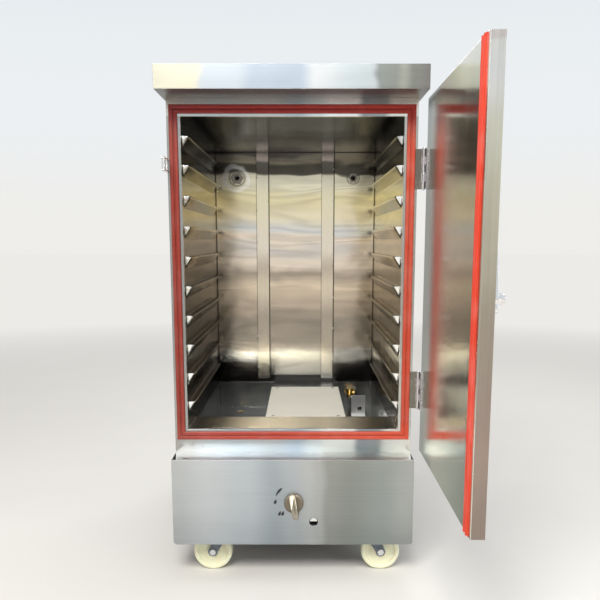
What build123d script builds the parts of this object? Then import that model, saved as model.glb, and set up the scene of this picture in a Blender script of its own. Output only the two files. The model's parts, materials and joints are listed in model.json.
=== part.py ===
from build123d import *
import os

# Gas rice steamer cabinet on castors, with its single door standing open at a right angle.
# Lengths are in millimetres. X runs to the right, Y into the cabinet and Z up. Pieces are placed from the
# middle of the casing's front face at floor level. The last section moves them all to the part's origin,
# which is the middle of the whole part's footprint on the floor.

# Sheet and fits
sheet = 1.0
overrun = 5.0
running_gap = 0.05
seat_gap = 0.2
moving_gap = 0.3

# Casing
cabinet_width = 483.0
side_wall = 26.5
cavity_depth = 600.0
cavity_height = 614.0
rear_wall = 27.0
lip_width = 5.0
channel_width = 17.0
channel_depth = 8.0
top_rail = 12.0
bottom_rail = 27.0
base_room = 111.0

# Overhanging cap
cap_side = 6.5
cap_overhang = 88.0
cap_rear = 4.0
cap_height = 42.5
cap_seat = 15.0

# Base frame of angle with a cross plate over each pair of castors
base_section = 32.0
base_angle = 3.0

# Control box
box_depth = 58.0
box_height = 177.0
box_corner = 7.0
left_wedge = 8.0
right_wedge = 5.0
wedge_end = 2.0
slot_width = 10.0
slot_depth = 9.0
slot_inset_x = 22.5
slot_inset_y = 5.0
view_hole_r = 8.8
view_hole_x = 41.7
view_hole_rise = 14.0
view_hole_margin = 1.2

# Gas knob, stem and valve
knob_x = 2.0
knob_rise = 22.0
knob_r = 19.5
knob_disc = 7.0
knob_height = 28.0
knob_standoff = 1.0
knob_edge = 1.5
grip_length = 46.0
grip_width = 11.0
grip_tilt = 10.5
grip_fall = 3.0
thumb_lip = 2.0
stem_r = 4.0
stem_hole_gap = 1.0
knob_socket = 12.0
valve_width = 34.0
valve_height = 30.0
valve_depth = 37.0
valve_bore_depth = 26.0
supply_r = 7.5
supply_bore_r = 5.5
supply_bend = 30.0
supply_wall_inset = 51.5
inlet_r = 10.45
inlet_length = 18.0
inlet_root = 14.0
neck_step = 0.5
inlet_nut_r = 15.0
inlet_nut = 6.0

# Burner
burner_r = 14.0
burner_inset = 12.0
burner_length = 345.0
burner_drop = 27.0
burner_ports = 26
port_width = 2.0
port_length = 12.0
port_depth = 4.0
feed_r = 8.0
feed_bend = 26.0
feed_straight = 36.0
hanger_width = 12.0
hanger_sheet = 2.0
hanger_foot = 16.0

# Chamber ledges
ledge_headroom = 25.0
ledge_first = 53.0
ledge_pitch = 59.1
ledge_top_drop = 4.0
ledge_reach = 13.5
ledge_nose = 2.5
ledge_drop = 24.0
ledge_front = 20.0
ledge_rear_margin = 60.0

# Back wall of the chamber
strip_width = 32.0
strip_sheet = 2.0
strip_foot = 1.0
duct_width = 144.0
duct_depth = 12.0
duct_foot = 10.0
duct_head = 20.0
port_drop = 67.0
port_inset = 58.3
port_bore_r = 6.7
port_wall = 1.8
port_nut = 6.0
port_left_nut_r = 18.0
port_right_nut_r = 13.0
port_out = 20.0

# Tank, sill and fire box
rim_drop = 12.0
tank_depth = 74.0
tank_front = 40.0
tank_sheet = 1.2
tank_flange = 12.0
sill_depth = 111.0
sill_slope = 17.0
sill_drop = 6.0
fire_left_inset = 155.0
fire_right_inset = 102.0
fire_front = 140.0
fire_sheet = 1.5
plate_overhang = 2.5
plate_gap = 1.0
plate_length = 364.0
plate_sheet = 1.5
post_height = 2.5
post_r = 4.0
screw_inset = 16.0
screw_r = 2.0
screw_head_r = 3.6
screw_head = 1.6
screw_length = 7.0
flue_r = 18.0
flue_wall = 1.2
flue_out = 30.0

# Float valve, float and guard
float_valve_inset = 63.5
inlet_drop = 26.0
cone_setback = 25.0
cone_top_r = 11.5
cone_foot_r = 5.5
cone_height = 28.0
cone_rise = 12.0
neck_r = 7.0
washer_r = 8.5
washer = 2.5
water_nut_r = 14.0
water_nut = 5.0
lug_sheet = 3.0
lug_reach = 23.0
lug_height = 8.0
pivot_drop = 8.0
pivot_r = 2.0
pivot_head_r = 3.4
pivot_head = 1.5
eye_r = 4.5
eye_width = 4.0
arm_r = 1.5
arm_reach = 34.0
arm_drop = 12.0
arm_side = 17.0
arm_bend = 5.0
ball_r = 16.0
ball_socket = 6.0
guard_inset = 26.0
guard_width = 37.0
guard_height = 54.0
guard_sheet = 1.2
guard_gap = 6.0
guard_foot = 20.0
guard_hole_r = 6.0
guard_hole_height = 18.0
guard_hole_inset = 22.5

# Drain valve and lever
drain_inset = 65.0
drain_setback = 55.0
drain_r = 11.0
drain_bore_r = 6.0
drain_nut_r = 17.0
drain_nut = 6.0
drain_body_r = 17.0
drain_body_height = 34.0
drain_body_drop = 36.0
drain_length = 66.0
plug_r = 9.0
plug_neck = 6.0
lever_width = 12.0
lever_sheet = 2.5
lever_length = 60.0

# Door
door_free_margin = 5.0
door_thickness = 21.5
door_gap = 7.5
door_open = 90.0
door_foot_gap = 9.5
door_head_gap = 4.0
strip_seal_inset = 12.0
strip_seal_width = 28.0
strip_seal_base = 1.2
bead_r = 3.6
bead_spread = 7.0
gasket_proud = 3.5
gasket_web = 1.0
gasket_bead = 7.2
gasket_round = 2.0

# Hinges
hinge_reach = 11.75
hinge_length = 76.0
upper_hinge_drop = 94.0
lower_hinge_rise = 93.0
hinge_knuckles = 5
leaf_sheet = 2.0
leaf_width = 30.0
pin_r = 2.0
pin_head_r = 3.2
pin_head = 2.0

# Latch and keeper
latch_inset = 23.5
latch_height = 340.5
latch_reach = 221.0
latch_tilt = 12.0
boss_r = 6.0
boss_length = 18.5
hub_r = 9.5
hub_height = 2.0
nut_r = 9.0
nut_height = 6.0
latch_width = 20.0
latch_sheet = 5.5
latch_tail = 20.0
tail_r = 6.0
finger_reach = 31.0
finger_height = 12.0
keeper_sheet = 2.0
keeper_out = 4.5
keeper_clearance = 1.0
keeper_mouth = 20.0
keeper_front = 46.0
keeper_step = 8.0
keeper_rear = 35.0
keeper_foot = 30.0
keeper_screw_r = 3.5
keeper_screw = 1.5
keeper_screw_shares = (0.25, 0.75)
roller_r = 3.75
roller_clearance = 0.45
roller_offset = 0.25
roller_pin_r = 2.0
roller_pin_head_r = 3.2
roller_pin_head = 1.5

# Castors
castor_height = 106.0
wheel_r = 40.0
wheel_width = 24.0
wheel_round = 3.0
wheel_recess = 4.0
wheel_hub_r = 13.0
wheel_rim = 9.0
wheel_gap = 1.0
castor_trail = 25.0
castor_inset = 92.15
castor_offset = 7.4
castor_front = -4.0
castor_rear_margin = 32.0
castor_plate = 60.0
castor_plate_sheet = 3.0
plate_bolt_inset = 10.0
plate_bolt_r = 3.0
plate_nut_r = 5.5
plate_nut = 5.0
plate_bolt_head = 3.0
head_r = 18.0
head_height = 12.5
crown_sheet = 3.0
crown_half = 15.0
leg_sheet = 3.0
leg_foot_r = 10.0
king_r = 5.0
king_nut_r = 8.0
king_nut = 4.0
axle_r = 4.0
axle_head_r = 7.0
axle_head = 4.0

# Places worked out from the sizes above
half_width = cabinet_width / 2
cavity_width = cabinet_width - 2 * side_wall
half_cavity = cavity_width / 2
body_depth = cavity_depth + rear_wall
frame_head = castor_height + base_section
base_height = frame_head + base_room
frame_depth = channel_depth + sheet
cavity_foot = base_height + bottom_rail + channel_width + lip_width
cavity_head = cavity_foot + cavity_height
body_top = cavity_head + lip_width + channel_width + top_rail
skin_in = half_width - sheet
back_in = body_depth - sheet
box_front = -box_depth
box_foot = base_height - box_height
knob_z = frame_head + knob_rise
view_hole_z = castor_height + view_hole_rise
valve_face = box_front + sheet
valve_back = valve_face + valve_depth
supply_x = supply_wall_inset - half_width
ledge_count = 1 + int((cavity_height - ledge_first - ledge_headroom) / ledge_pitch)
rim_z = cavity_foot - rim_drop
tank_floor = rim_z - tank_depth
tank_back_in = cavity_depth - tank_sheet
sill_edge = sill_depth + sill_slope
plate_top = cavity_foot - sill_drop
plate_front = sill_edge + plate_gap
plate_rear = plate_front + plate_length
fire_top = plate_top - plate_sheet - post_height
fire_left = fire_left_inset - half_cavity
fire_right = half_cavity - fire_right_inset
fire_mid = (fire_left + fire_right) / 2
flue_z = (tank_floor + fire_top) / 2
port_height = cavity_height - port_drop
port_spread = half_cavity - port_inset
port_z = cavity_foot + port_height
port_r = port_bore_r + port_wall
inlet_x = half_cavity - float_valve_inset
water_z = rim_z - inlet_drop
cone_y = cavity_depth - cone_setback
pivot_y = cone_y - lug_reach + lug_height / 2
pivot_z = water_z - pivot_drop
ball_x = inlet_x + moving_gap + eye_width / 2 + arm_side
ball_y = pivot_y - arm_reach
ball_z = pivot_z - arm_drop
guard_left = half_cavity - guard_inset - guard_width
drain_x = drain_inset - half_cavity
drain_y = cavity_depth - drain_setback
drain_z = tank_floor - drain_body_drop
hinge_x = half_width + hinge_reach
hinge_y = -door_gap / 2
barrel_r = door_gap / 2
door_width = cabinet_width - door_free_margin
door_free = half_width - door_width
door_foot = base_height + door_foot_gap
door_head = body_top - door_head_gap
door_inner = -door_gap
door_outer = door_inner - door_thickness
latch_x = door_free + latch_inset
latch_z = door_foot + latch_height
lever_back = door_outer - hub_height - moving_gap
lever_front = lever_back - latch_sheet
keeper_z = latch_z + latch_reach
roller_x = -half_width - roller_offset
roller_y = lever_front - roller_clearance - roller_r
castor_spacing = cabinet_width - 2 * castor_inset
plate_foot = castor_height - castor_plate_sheet
head_foot = plate_foot - moving_gap - head_height
crown_foot = head_foot - crown_sheet


# Simple solids and outlines

def slab(x0, x1, y0, y1, z0, z1):
    return Pos((x0 + x1) / 2, (y0 + y1) / 2, (z0 + z1) / 2) * Box(x1 - x0, y1 - y0, z1 - z0)


def rod_x(y, z, r, x0, x1):
    return Pos((x0 + x1) / 2, y, z) * Rot(0, 90, 0) * Cylinder(r, x1 - x0)


def rod_y(x, z, r, y0, y1):
    return Pos(x, (y0 + y1) / 2, z) * Rot(90, 0, 0) * Cylinder(r, y1 - y0)


def rod_z(x, y, r, z0, z1):
    return Pos(x, y, (z0 + z1) / 2) * Cylinder(r, z1 - z0)


def nut_y(x, z, r, y0, y1):
    return Pos(x, y1, z) * Rot(90, 0, 0) * extrude(RegularPolygon(r, 6), y1 - y0)


def nut_z(x, y, r, z0, z1):
    return Pos(x, y, z0) * extrude(RegularPolygon(r, 6), z1 - z0)


def outline_along_x(points, x0, x1):
    face = make_face(Polyline(*[(x0, y, z) for y, z in points], close=True))
    return extrude(face, x1 - x0, dir=(1, 0, 0))


def outline_along_y(points, y0, y1):
    face = make_face(Polyline(*[(x, y0, z) for x, z in points], close=True))
    return extrude(face, y1 - y0, dir=(0, 1, 0))


def outline_along_z(points, z0, z1):
    face = make_face(Polyline(*[(x, y, z0) for x, y in points], close=True))
    return extrude(face, z1 - z0, dir=(0, 0, 1))


def tube_along(route, r):
    return sweep(Plane(origin=route @ 0, z_dir=route % 0) * Circle(r), path=route)


def straight_rod(start, end, r):
    run = Vector(*end) - Vector(*start)
    rod = Cylinder(r, run.length, align=(Align.CENTER, Align.CENTER, Align.MIN))
    return Plane(origin=start, z_dir=run) * rod


def bent_rod(points, r):
    """Round rod through the points, with round corners."""
    rod = straight_rod(points[0], points[1], r)
    for start, end in zip(points[1:], points[2:]):
        rod += straight_rod(start, end, r)
    for corner in points[1:-1]:
        rod += Pos(*corner) * Sphere(r)
    return rod


def mirrored(shape):
    return mirror(shape, about=Plane.YZ)


# Rectangles in the front plane, as left, right, foot and head

def around_opening(margin):
    return (-half_cavity - margin, half_cavity + margin, cavity_foot - margin, cavity_head + margin)


def casing_outline(inset):
    return (inset - half_width, half_width - inset, base_height + inset, body_top - inset)


def ring(outer, inner, y0, y1):
    ox0, ox1, oz0, oz1 = outer
    ix0, ix1, iz0, iz1 = inner
    return slab(ox0, ox1, y0, y1, oz0, oz1) - slab(ix0, ix1, y0 - overrun, y1 + overrun, iz0, iz1)


# Casing

def front_frame():
    """Folded face frame: outer strip, seal channel and lip."""
    channel_out = lip_width + channel_width
    back = frame_depth + overrun
    frame = ring(casing_outline(0), around_opening(0), 0, frame_depth)
    frame -= ring(around_opening(channel_out), around_opening(lip_width), -overrun, channel_depth)
    frame -= ring(casing_outline(sheet), around_opening(channel_out + sheet), sheet, back)
    frame -= ring(around_opening(lip_width - sheet), around_opening(sheet), sheet, back)
    return frame


def side_panel_left():
    panel = slab(-half_width, -skin_in, 0, back_in, castor_height, body_top)
    corner = slab(
        -half_width - overrun,
        -skin_in + overrun,
        -overrun,
        frame_depth,
        base_height,
        body_top + overrun,
    )
    return panel - corner


def rear_holes():
    """Room for everything that comes out through the back of the chamber and tank."""
    y0, y1 = cavity_depth - overrun, body_depth + overrun
    holes = [
        rod_y(fire_mid, flue_z, flue_r + seat_gap, y0, y1),
        rod_y(inlet_x, water_z, inlet_r + seat_gap, y0, y1),
    ]
    for side in (-1, 1):
        holes.append(rod_y(side * port_spread, port_z, port_r + seat_gap, y0, y1))
    return holes


def spigot(x, z, r, front, rear):
    """Round stub of full size behind the casing, with a slimmer neck through the rear wall."""
    return rod_y(x, z, r - neck_step, front, body_depth) + rod_y(x, z, r, body_depth, rear)


def back_panel():
    panel = slab(-half_width, half_width, back_in, body_depth, castor_height, body_top)
    panel -= rod_y(supply_x, knob_z, inlet_r + seat_gap, back_in - overrun, body_depth + overrun)
    return panel - rear_holes()


def roof_panel():
    return slab(-skin_in, skin_in, frame_depth, back_in, body_top - sheet, body_top)


def top_cap():
    """Folded cap: fascia, a soffit under the front overhang, open over the roof."""
    side = half_width + cap_side
    head = body_top + cap_height
    rear = body_depth + cap_rear
    cap = slab(-side, side, -cap_overhang, rear, body_top, head)
    hollow = side - sheet
    cap -= slab(-hollow, hollow, sheet - cap_overhang, rear - sheet, body_top + sheet, head - sheet)
    seat = half_width - cap_seat
    cap -= slab(-seat, seat, cap_seat, body_depth - cap_seat, body_top - overrun, head - cap_height / 2)
    return cap


def castor_places():
    """Swivel axis and outward side of each castor."""
    left = castor_offset - castor_spacing / 2
    right = castor_offset + castor_spacing / 2
    rear = body_depth - castor_rear_margin
    return {
        "front_left": (left, castor_front, -1),
        "front_right": (right, castor_front, 1),
        "rear_left": (left, rear, -1),
        "rear_right": (right, rear, 1),
    }


def plate_bolt_places(x, y):
    reach = castor_plate / 2 - plate_bolt_inset
    return [(x + i * reach, y + j * reach) for i in (-1, 1) for j in (-1, 1)]


def base_frame():
    """Angle frame with a cross plate over each pair of castors."""
    foot, head = castor_height, frame_head
    flange = foot + base_angle
    web = skin_in - base_angle
    inner = skin_in - base_section
    frame = slab(-skin_in, skin_in, valve_face, back_in, foot, head)
    frame -= slab(-web, web, valve_face + base_angle, back_in - base_angle, flange, head + overrun)
    front_bar = castor_front + castor_plate / 2 + base_angle
    rear_bar = body_depth - castor_rear_margin - castor_plate / 2 - base_angle
    frame -= slab(-inner, inner, front_bar, rear_bar, foot - overrun, flange + overrun)
    for x, y, _ in castor_places().values():
        for bolt_x, bolt_y in plate_bolt_places(x, y):
            frame -= rod_z(bolt_x, bolt_y, plate_bolt_r + seat_gap, foot - overrun, flange + overrun)
    view_r = view_hole_r + view_hole_margin
    front, rear = valve_face - overrun, valve_face + base_angle + overrun
    return frame - rod_y(view_hole_x, view_hole_z, view_r, front, rear)


def control_panel():
    """Front, top shelf and side returns of the control box, folded from one sheet."""
    box = slab(-half_width, half_width, box_front, 0, box_foot, base_height)
    box = fillet(box.edges().filter_by(Axis.Y).group_by(Axis.Z)[0], box_corner)
    box -= slab(-skin_in, skin_in, valve_face, overrun, box_foot - overrun, base_height - sheet)
    side = half_width + overrun
    box -= slab(-side, side, valve_face, overrun, box_foot - overrun, box_foot + box_corner)
    tongue = skin_in - seat_gap
    box += slab(-tongue, tongue, -sheet, frame_depth, base_height - sheet, base_height)
    below, above = base_height - overrun, base_height + overrun
    for direction, wedge in ((-1, left_wedge), (1, right_wedge)):
        corner = direction * skin_in
        box -= outline_along_z(
            [(corner, valve_face), (corner - direction * wedge, valve_face), (corner, -wedge_end)],
            below,
            above,
        )
    slot_x = slot_inset_x - half_width
    slot_y = box_front + slot_inset_y
    box -= slab(slot_x, slot_x + slot_width, slot_y, slot_y + slot_depth, below, above)
    front, behind = box_front - overrun, valve_face + overrun
    box -= rod_y(knob_x, knob_z, stem_r + stem_hole_gap, front, behind)
    box -= rod_y(view_hole_x, view_hole_z, view_hole_r, front, behind)
    return box


def cabinet_insulation():
    """Foam between the skins and the chamber, in one piece."""
    chamber = half_cavity + sheet
    flange = half_cavity + tank_flange
    flange_front, flange_rear = tank_front - tank_flange, cavity_depth + tank_flange
    foam = slab(-skin_in, skin_in, frame_depth, back_in, tank_floor, body_top - sheet)
    foam -= slab(-chamber, chamber, 0, cavity_depth + sheet, rim_z, cavity_head + sheet)
    foam -= slab(-half_cavity, half_cavity, tank_front, cavity_depth, tank_floor - overrun, rim_z)
    foam -= slab(-flange, flange, flange_front, flange_rear, rim_z - tank_sheet, rim_z)
    return foam - rear_holes()


# Chamber

def ledge_heads():
    heads = [cavity_foot + ledge_first + i * ledge_pitch for i in range(ledge_count)]
    heads[-1] -= ledge_top_drop
    return heads


def liner_left():
    """Chamber wall with hollow ledges pressed into it, closed at their ends."""
    inner = -half_cavity
    nose = inner + ledge_reach
    y0, y1 = ledge_front, cavity_depth - ledge_rear_margin
    wall = slab(inner - sheet, inner, frame_depth, cavity_depth, rim_z, cavity_head + sheet)
    for head in ledge_heads():
        shape = [(inner, head), (nose, head), (nose, head - ledge_nose), (inner, head - ledge_drop)]
        wall += outline_along_y(shape, y0, y1)
    for head in ledge_heads():
        out = inner - sheet - overrun
        low = head - ledge_drop + 2 * sheet
        hollow = [
            (out, head - sheet),
            (nose - sheet, head - sheet),
            (nose - sheet, head - ledge_nose),
            (inner, low),
            (out, low),
        ]
        wall -= outline_along_y(hollow, y0 + sheet, y1 - sheet)
    return wall


def liner_top():
    return slab(-half_cavity, half_cavity, frame_depth, cavity_depth, cavity_head, cavity_head + sheet)


def liner_back():
    side = half_cavity + sheet
    return slab(-side, side, cavity_depth, cavity_depth + sheet, rim_z, cavity_head + sheet) - rear_holes()


def back_wall_strips():
    near = duct_width / 2
    foot = cavity_foot - strip_foot
    right = slab(near, near + strip_width, cavity_depth - strip_sheet, cavity_depth, foot, cavity_head)
    return Compound([mirrored(right), right])


def back_centre_panel():
    """Shallow steam duct down the middle of the back wall, open at its foot and head."""
    side = duct_width / 2
    front = cavity_depth - duct_depth
    foot, head = cavity_foot + duct_foot, cavity_head - duct_head
    hollow = slab(
        sheet - side,
        side - sheet,
        front + sheet,
        cavity_depth + overrun,
        foot - overrun,
        head + overrun,
    )
    return slab(-side, side, front, cavity_depth, foot, head) - hollow


def steam_port(side, nut_size):
    x = side * port_spread
    front, rear = cavity_depth - port_nut, body_depth + port_out
    port = spigot(x, port_z, port_r, front, rear) + nut_y(x, port_z, nut_size, front, cavity_depth)
    return port - rod_y(x, port_z, port_bore_r, front - overrun, rear + overrun)


def water_tank():
    """Open tank with a rim flange, a floor opening under the fire box, and holes for what passes through."""
    side = half_cavity
    inside = side - tank_sheet
    flange = side + tank_flange
    floor_top = tank_floor + tank_sheet
    flange_front, flange_rear = tank_front - tank_flange, cavity_depth + tank_flange
    tank = slab(-side, side, tank_front, cavity_depth, tank_floor, rim_z)
    tank += slab(-flange, flange, flange_front, flange_rear, rim_z - tank_sheet, rim_z)
    tank -= slab(-inside, inside, tank_front + tank_sheet, tank_back_in, floor_top, rim_z + overrun)
    tank -= slab(
        fire_left + fire_sheet,
        fire_right - fire_sheet,
        fire_front + fire_sheet,
        tank_back_in - fire_sheet,
        tank_floor - overrun,
        floor_top + overrun,
    )
    tank -= rod_z(drain_x, drain_y, drain_r + seat_gap, tank_floor - overrun, floor_top + overrun)
    for x, z, r in ((fire_mid, flue_z, flue_r), (inlet_x, water_z, inlet_r)):
        tank -= rod_y(x, z, r + seat_gap, tank_back_in - overrun, cavity_depth + overrun)
    return tank


def front_sill():
    low = cavity_foot - sill_drop
    points = [
        (frame_depth, cavity_foot - sheet),
        (frame_depth, cavity_foot),
        (sill_depth, cavity_foot),
        (sill_edge, low),
        (sill_edge, rim_z),
        (sill_edge - sheet, rim_z),
        (sill_edge - sheet, low - sheet),
        (sill_depth, cavity_foot - sheet),
    ]
    return outline_along_x(points, -half_cavity, half_cavity)


def plate_screw_places():
    xs = (fire_left - plate_overhang + screw_inset, fire_right + plate_overhang - screw_inset)
    ys = (fire_front + fire_sheet + post_r, plate_rear - screw_inset)
    return [(x, y) for x in xs for y in ys]


def fire_box():
    """Combustion chamber standing up through the tank, open below, with its flue hole behind."""
    base = tank_floor + tank_sheet
    box = slab(fire_left, fire_right, fire_front, tank_back_in, base, fire_top)
    box -= slab(
        fire_left + fire_sheet,
        fire_right - fire_sheet,
        fire_front + fire_sheet,
        tank_back_in - fire_sheet,
        base - overrun,
        fire_top - fire_sheet,
    )
    box -= rod_y(fire_mid, flue_z, flue_r + seat_gap, tank_back_in - fire_sheet - overrun, cavity_depth)
    for x, y in plate_screw_places():
        box += rod_z(x, y, post_r, fire_top, fire_top + post_height)
        box -= rod_z(x, y, screw_r + seat_gap, fire_top - fire_sheet - overrun, plate_top)
    return box


def splash_plate():
    left, right = fire_left - plate_overhang, fire_right + plate_overhang
    plate = slab(left, right, plate_front, plate_rear, plate_top - plate_sheet, plate_top)
    for x, y in plate_screw_places():
        plate -= rod_z(x, y, screw_r + seat_gap, plate_top - plate_sheet - overrun, plate_top + overrun)
    return plate


def splash_plate_screws():
    screws = []
    for x, y in plate_screw_places():
        shank = rod_z(x, y, screw_r, plate_top - screw_length, plate_top)
        screws.append(shank + rod_z(x, y, screw_head_r, plate_top, plate_top + screw_head))
    return Compound(screws)


def flue_duct():
    start = tank_back_in - fire_sheet
    rear = body_depth + flue_out
    bore = rod_y(fire_mid, flue_z, flue_r - flue_wall, start - overrun, rear + overrun)
    return spigot(fire_mid, flue_z, flue_r, start, rear) - bore


# Burner, gas valve and pipe

def burner():
    """Bar burner with its ports on top, two cross hangers and the feed tube from the valve."""
    z = tank_floor - burner_drop
    start = fire_front + burner_inset
    rear = start + burner_length
    feed = FilletPolyline(
        (knob_x, valve_back, knob_z),
        (knob_x, valve_back + feed_straight, knob_z),
        (fire_mid, start - feed_straight, z),
        (fire_mid, start + overrun, z),
        radius=feed_bend,
    )
    bar = rod_y(fire_mid, z, burner_r, start, rear) + tube_along(feed, feed_r)
    step = (burner_length - 2 * port_length) / (burner_ports - 1)
    for i in range(burner_ports):
        y = start + port_length + i * step
        bar -= slab(
            fire_mid - port_length / 2,
            fire_mid + port_length / 2,
            y - port_width / 2,
            y + port_width / 2,
            z + burner_r - port_depth,
            z + burner_r + overrun,
        )
    left, right = fire_left - hanger_foot, fire_right + hanger_foot
    half = hanger_width / 2
    for y in (start, rear - hanger_width):
        bar += slab(left, right, y, y + hanger_width, tank_floor - hanger_sheet, tank_floor)
        bar += slab(fire_mid - half, fire_mid + half, y, y + hanger_sheet, z, tank_floor)
    return bar


def gas_pipe():
    """Supply pipe with its rear inlet, bulkhead nut and one long bend to the valve."""
    mid = (valve_face + valve_back) / 2
    tail = body_depth + inlet_length
    route = FilletPolyline(
        (supply_x, tail, knob_z),
        (supply_x, mid, knob_z),
        (knob_x - valve_width / 2, mid, knob_z),
        radius=supply_bend,
    )
    pipe = tube_along(route, supply_r)
    pipe += spigot(supply_x, knob_z, inlet_r, back_in - inlet_root, tail)
    pipe += nut_y(supply_x, knob_z, inlet_nut_r, back_in - inlet_nut, back_in)
    return pipe - tube_along(route, supply_bore_r)


def gas_valve():
    half_x, half_z = valve_width / 2, valve_height / 2
    body = slab(knob_x - half_x, knob_x + half_x, valve_face, valve_back, knob_z - half_z, knob_z + half_z)
    bottom = valve_face + valve_bore_depth
    return body - rod_y(knob_x, knob_z, stem_r + running_gap, valve_face - overrun, bottom)


def valve_stem():
    tip = box_front - knob_standoff - knob_socket + moving_gap
    return rod_y(knob_x, knob_z, stem_r, tip, valve_face + valve_bore_depth - moving_gap)


def gas_knob():
    """Round knob with a raised grip that slopes to its upper end, its pointer tilted as at off."""
    back = box_front - knob_standoff
    front = back - knob_height
    disc = rod_y(knob_x, knob_z, knob_r, back - knob_disc, back)
    disc = fillet(disc.edges().group_by(Axis.Y)[0], knob_edge)
    grip = extrude(SlotOverall(grip_length, grip_width), knob_height)
    grip = fillet(grip.edges().group_by(Axis.Z)[-1], knob_edge)
    end = grip_length / 2 + overrun
    above = knob_height + overrun
    slope = [(grip_fall, knob_height), (end, knob_disc + thumb_lip), (end, above), (grip_fall, above)]
    grip -= outline_along_y(slope, -grip_width, grip_width)
    grip = Pos(-grip_fall, 0, 0) * grip
    grip = Pos(knob_x, back, knob_z) * Rot(90, 0, 0) * Rot(0, 0, 90 + grip_tilt) * grip
    grip -= slab(
        knob_x - grip_length,
        knob_x + grip_length,
        back - knob_disc / 2,
        back + overrun,
        knob_z - grip_length,
        knob_z + grip_length,
    )
    knob = disc + grip
    return knob - rod_y(knob_x, knob_z, stem_r + running_gap, back - knob_socket, back + overrun)


# Water inlet, float and drain

def float_valve():
    """Tapered valve body on its bulkhead neck, with the pivot for the float arm."""
    tail = body_depth + inlet_length
    head = water_z + cone_rise
    body = Pos(inlet_x, cone_y, head - cone_height / 2) * Cone(cone_foot_r, cone_top_r, cone_height)
    body += rod_y(inlet_x, water_z, neck_r, cone_y, tank_back_in)
    body += nut_y(inlet_x, water_z, water_nut_r, tank_back_in - water_nut, tank_back_in)
    body += spigot(inlet_x, water_z, inlet_r, tank_back_in, tail)
    cap = inlet_x + cone_top_r + washer
    body += rod_x(cone_y, water_z, cone_foot_r, inlet_x, cap)
    body += rod_x(cone_y, water_z, washer_r, cap - washer, cap)
    half = lug_height / 2
    lug = slab(inlet_x - lug_sheet, inlet_x, cone_y - lug_reach, cone_y, pivot_z - half, pivot_z + half)
    eye_right = inlet_x + moving_gap + eye_width + moving_gap
    pin = rod_x(pivot_y, pivot_z, pivot_r, inlet_x - lug_sheet, eye_right)
    return body + lug + pin + rod_x(pivot_y, pivot_z, pivot_head_r, eye_right, eye_right + pivot_head)


def float_arm():
    mid = inlet_x + moving_gap + eye_width / 2
    eye = rod_x(pivot_y, pivot_z, eye_r, mid - eye_width / 2, mid + eye_width / 2)
    eye -= rod_x(pivot_y, pivot_z, pivot_r + running_gap, mid - eye_width, mid + eye_width)
    route = [
        (mid, pivot_y - (eye_r + pivot_r) / 2, pivot_z),
        (mid, pivot_y - eye_r - arm_bend, pivot_z),
        (ball_x, ball_y + ball_r + arm_bend, ball_z),
        (ball_x, ball_y + ball_r - ball_socket + moving_gap, ball_z),
    ]
    return eye + bent_rod(route, arm_r)


def float_ball():
    ball = Pos(ball_x, ball_y, ball_z) * Sphere(ball_r)
    mouth = ball_y + ball_r
    return ball - rod_y(ball_x, ball_z, arm_r + running_gap, mouth - ball_socket, mouth + overrun)


def float_guard():
    """Folded plate standing on the tank floor in front of the float."""
    foot = tank_floor + tank_sheet
    rear = ball_y - ball_r - guard_gap
    right = guard_left + guard_width
    guard = slab(guard_left, right, rear - guard_sheet, rear, foot, foot + guard_height)
    guard += slab(guard_left, right, rear - guard_foot, rear, foot, foot + guard_sheet)
    hole_x = guard_left + guard_hole_inset
    return guard - rod_y(hole_x, foot + guard_hole_height, guard_hole_r, rear - overrun, rear + overrun)


def drain_valve():
    """Plug valve under the tank: neck, nut, body and outlet."""
    outlet = tank_floor - drain_length
    half = drain_body_height / 2
    body = rod_z(drain_x, drain_y, drain_r, outlet, tank_floor + tank_sheet)
    body += nut_z(drain_x, drain_y, drain_nut_r, tank_floor - drain_nut, tank_floor)
    body += rod_z(drain_x, drain_y, drain_body_r, drain_z - half, drain_z + half)
    body -= rod_z(drain_x, drain_y, drain_bore_r, outlet - overrun, tank_floor + tank_sheet + overrun)
    rear = drain_y + plug_r + moving_gap
    front = drain_y - drain_body_r - overrun
    return body - rod_y(drain_x, drain_z, plug_r + running_gap, front, rear)


def drain_lever():
    """Plug with its cross hole, and the flat handle that turns it."""
    neck = drain_y - drain_body_r - plug_neck
    handle = neck - lever_sheet
    lever = rod_y(drain_x, drain_z, plug_r, neck, drain_y + plug_r)
    lever -= rod_x(drain_y, drain_z, drain_bore_r, drain_x - drain_body_r, drain_x + drain_body_r)
    lever += rod_y(drain_x, drain_z, plug_r, handle, neck)
    half = lever_width / 2
    lever += slab(drain_x, drain_x + lever_length, handle, neck, drain_z - half, drain_z + half)
    return lever + rod_y(drain_x + lever_length, drain_z, half, handle, neck)


# Door, built closed and then swung open about its hinges

def hung(shape):
    return shape.rotate(Axis((hinge_x, hinge_y, 0), (0, 0, 1)), door_open)


def door_outer_skin():
    back = door_inner - sheet
    pan = slab(door_free, half_width, door_outer, back, door_foot, door_head)
    pan -= slab(
        door_free + sheet,
        half_width - sheet,
        door_outer + sheet,
        back + overrun,
        door_foot + sheet,
        door_head - sheet,
    )
    return hung(pan)


def door_inner_skin():
    return hung(slab(door_free, half_width, door_inner - sheet, door_inner, door_foot, door_head))


def door_insulation():
    core = slab(
        door_free + sheet,
        half_width - sheet,
        door_outer + sheet,
        door_inner - sheet,
        door_foot + sheet,
        door_head - sheet,
    )
    return hung(core)


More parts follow.
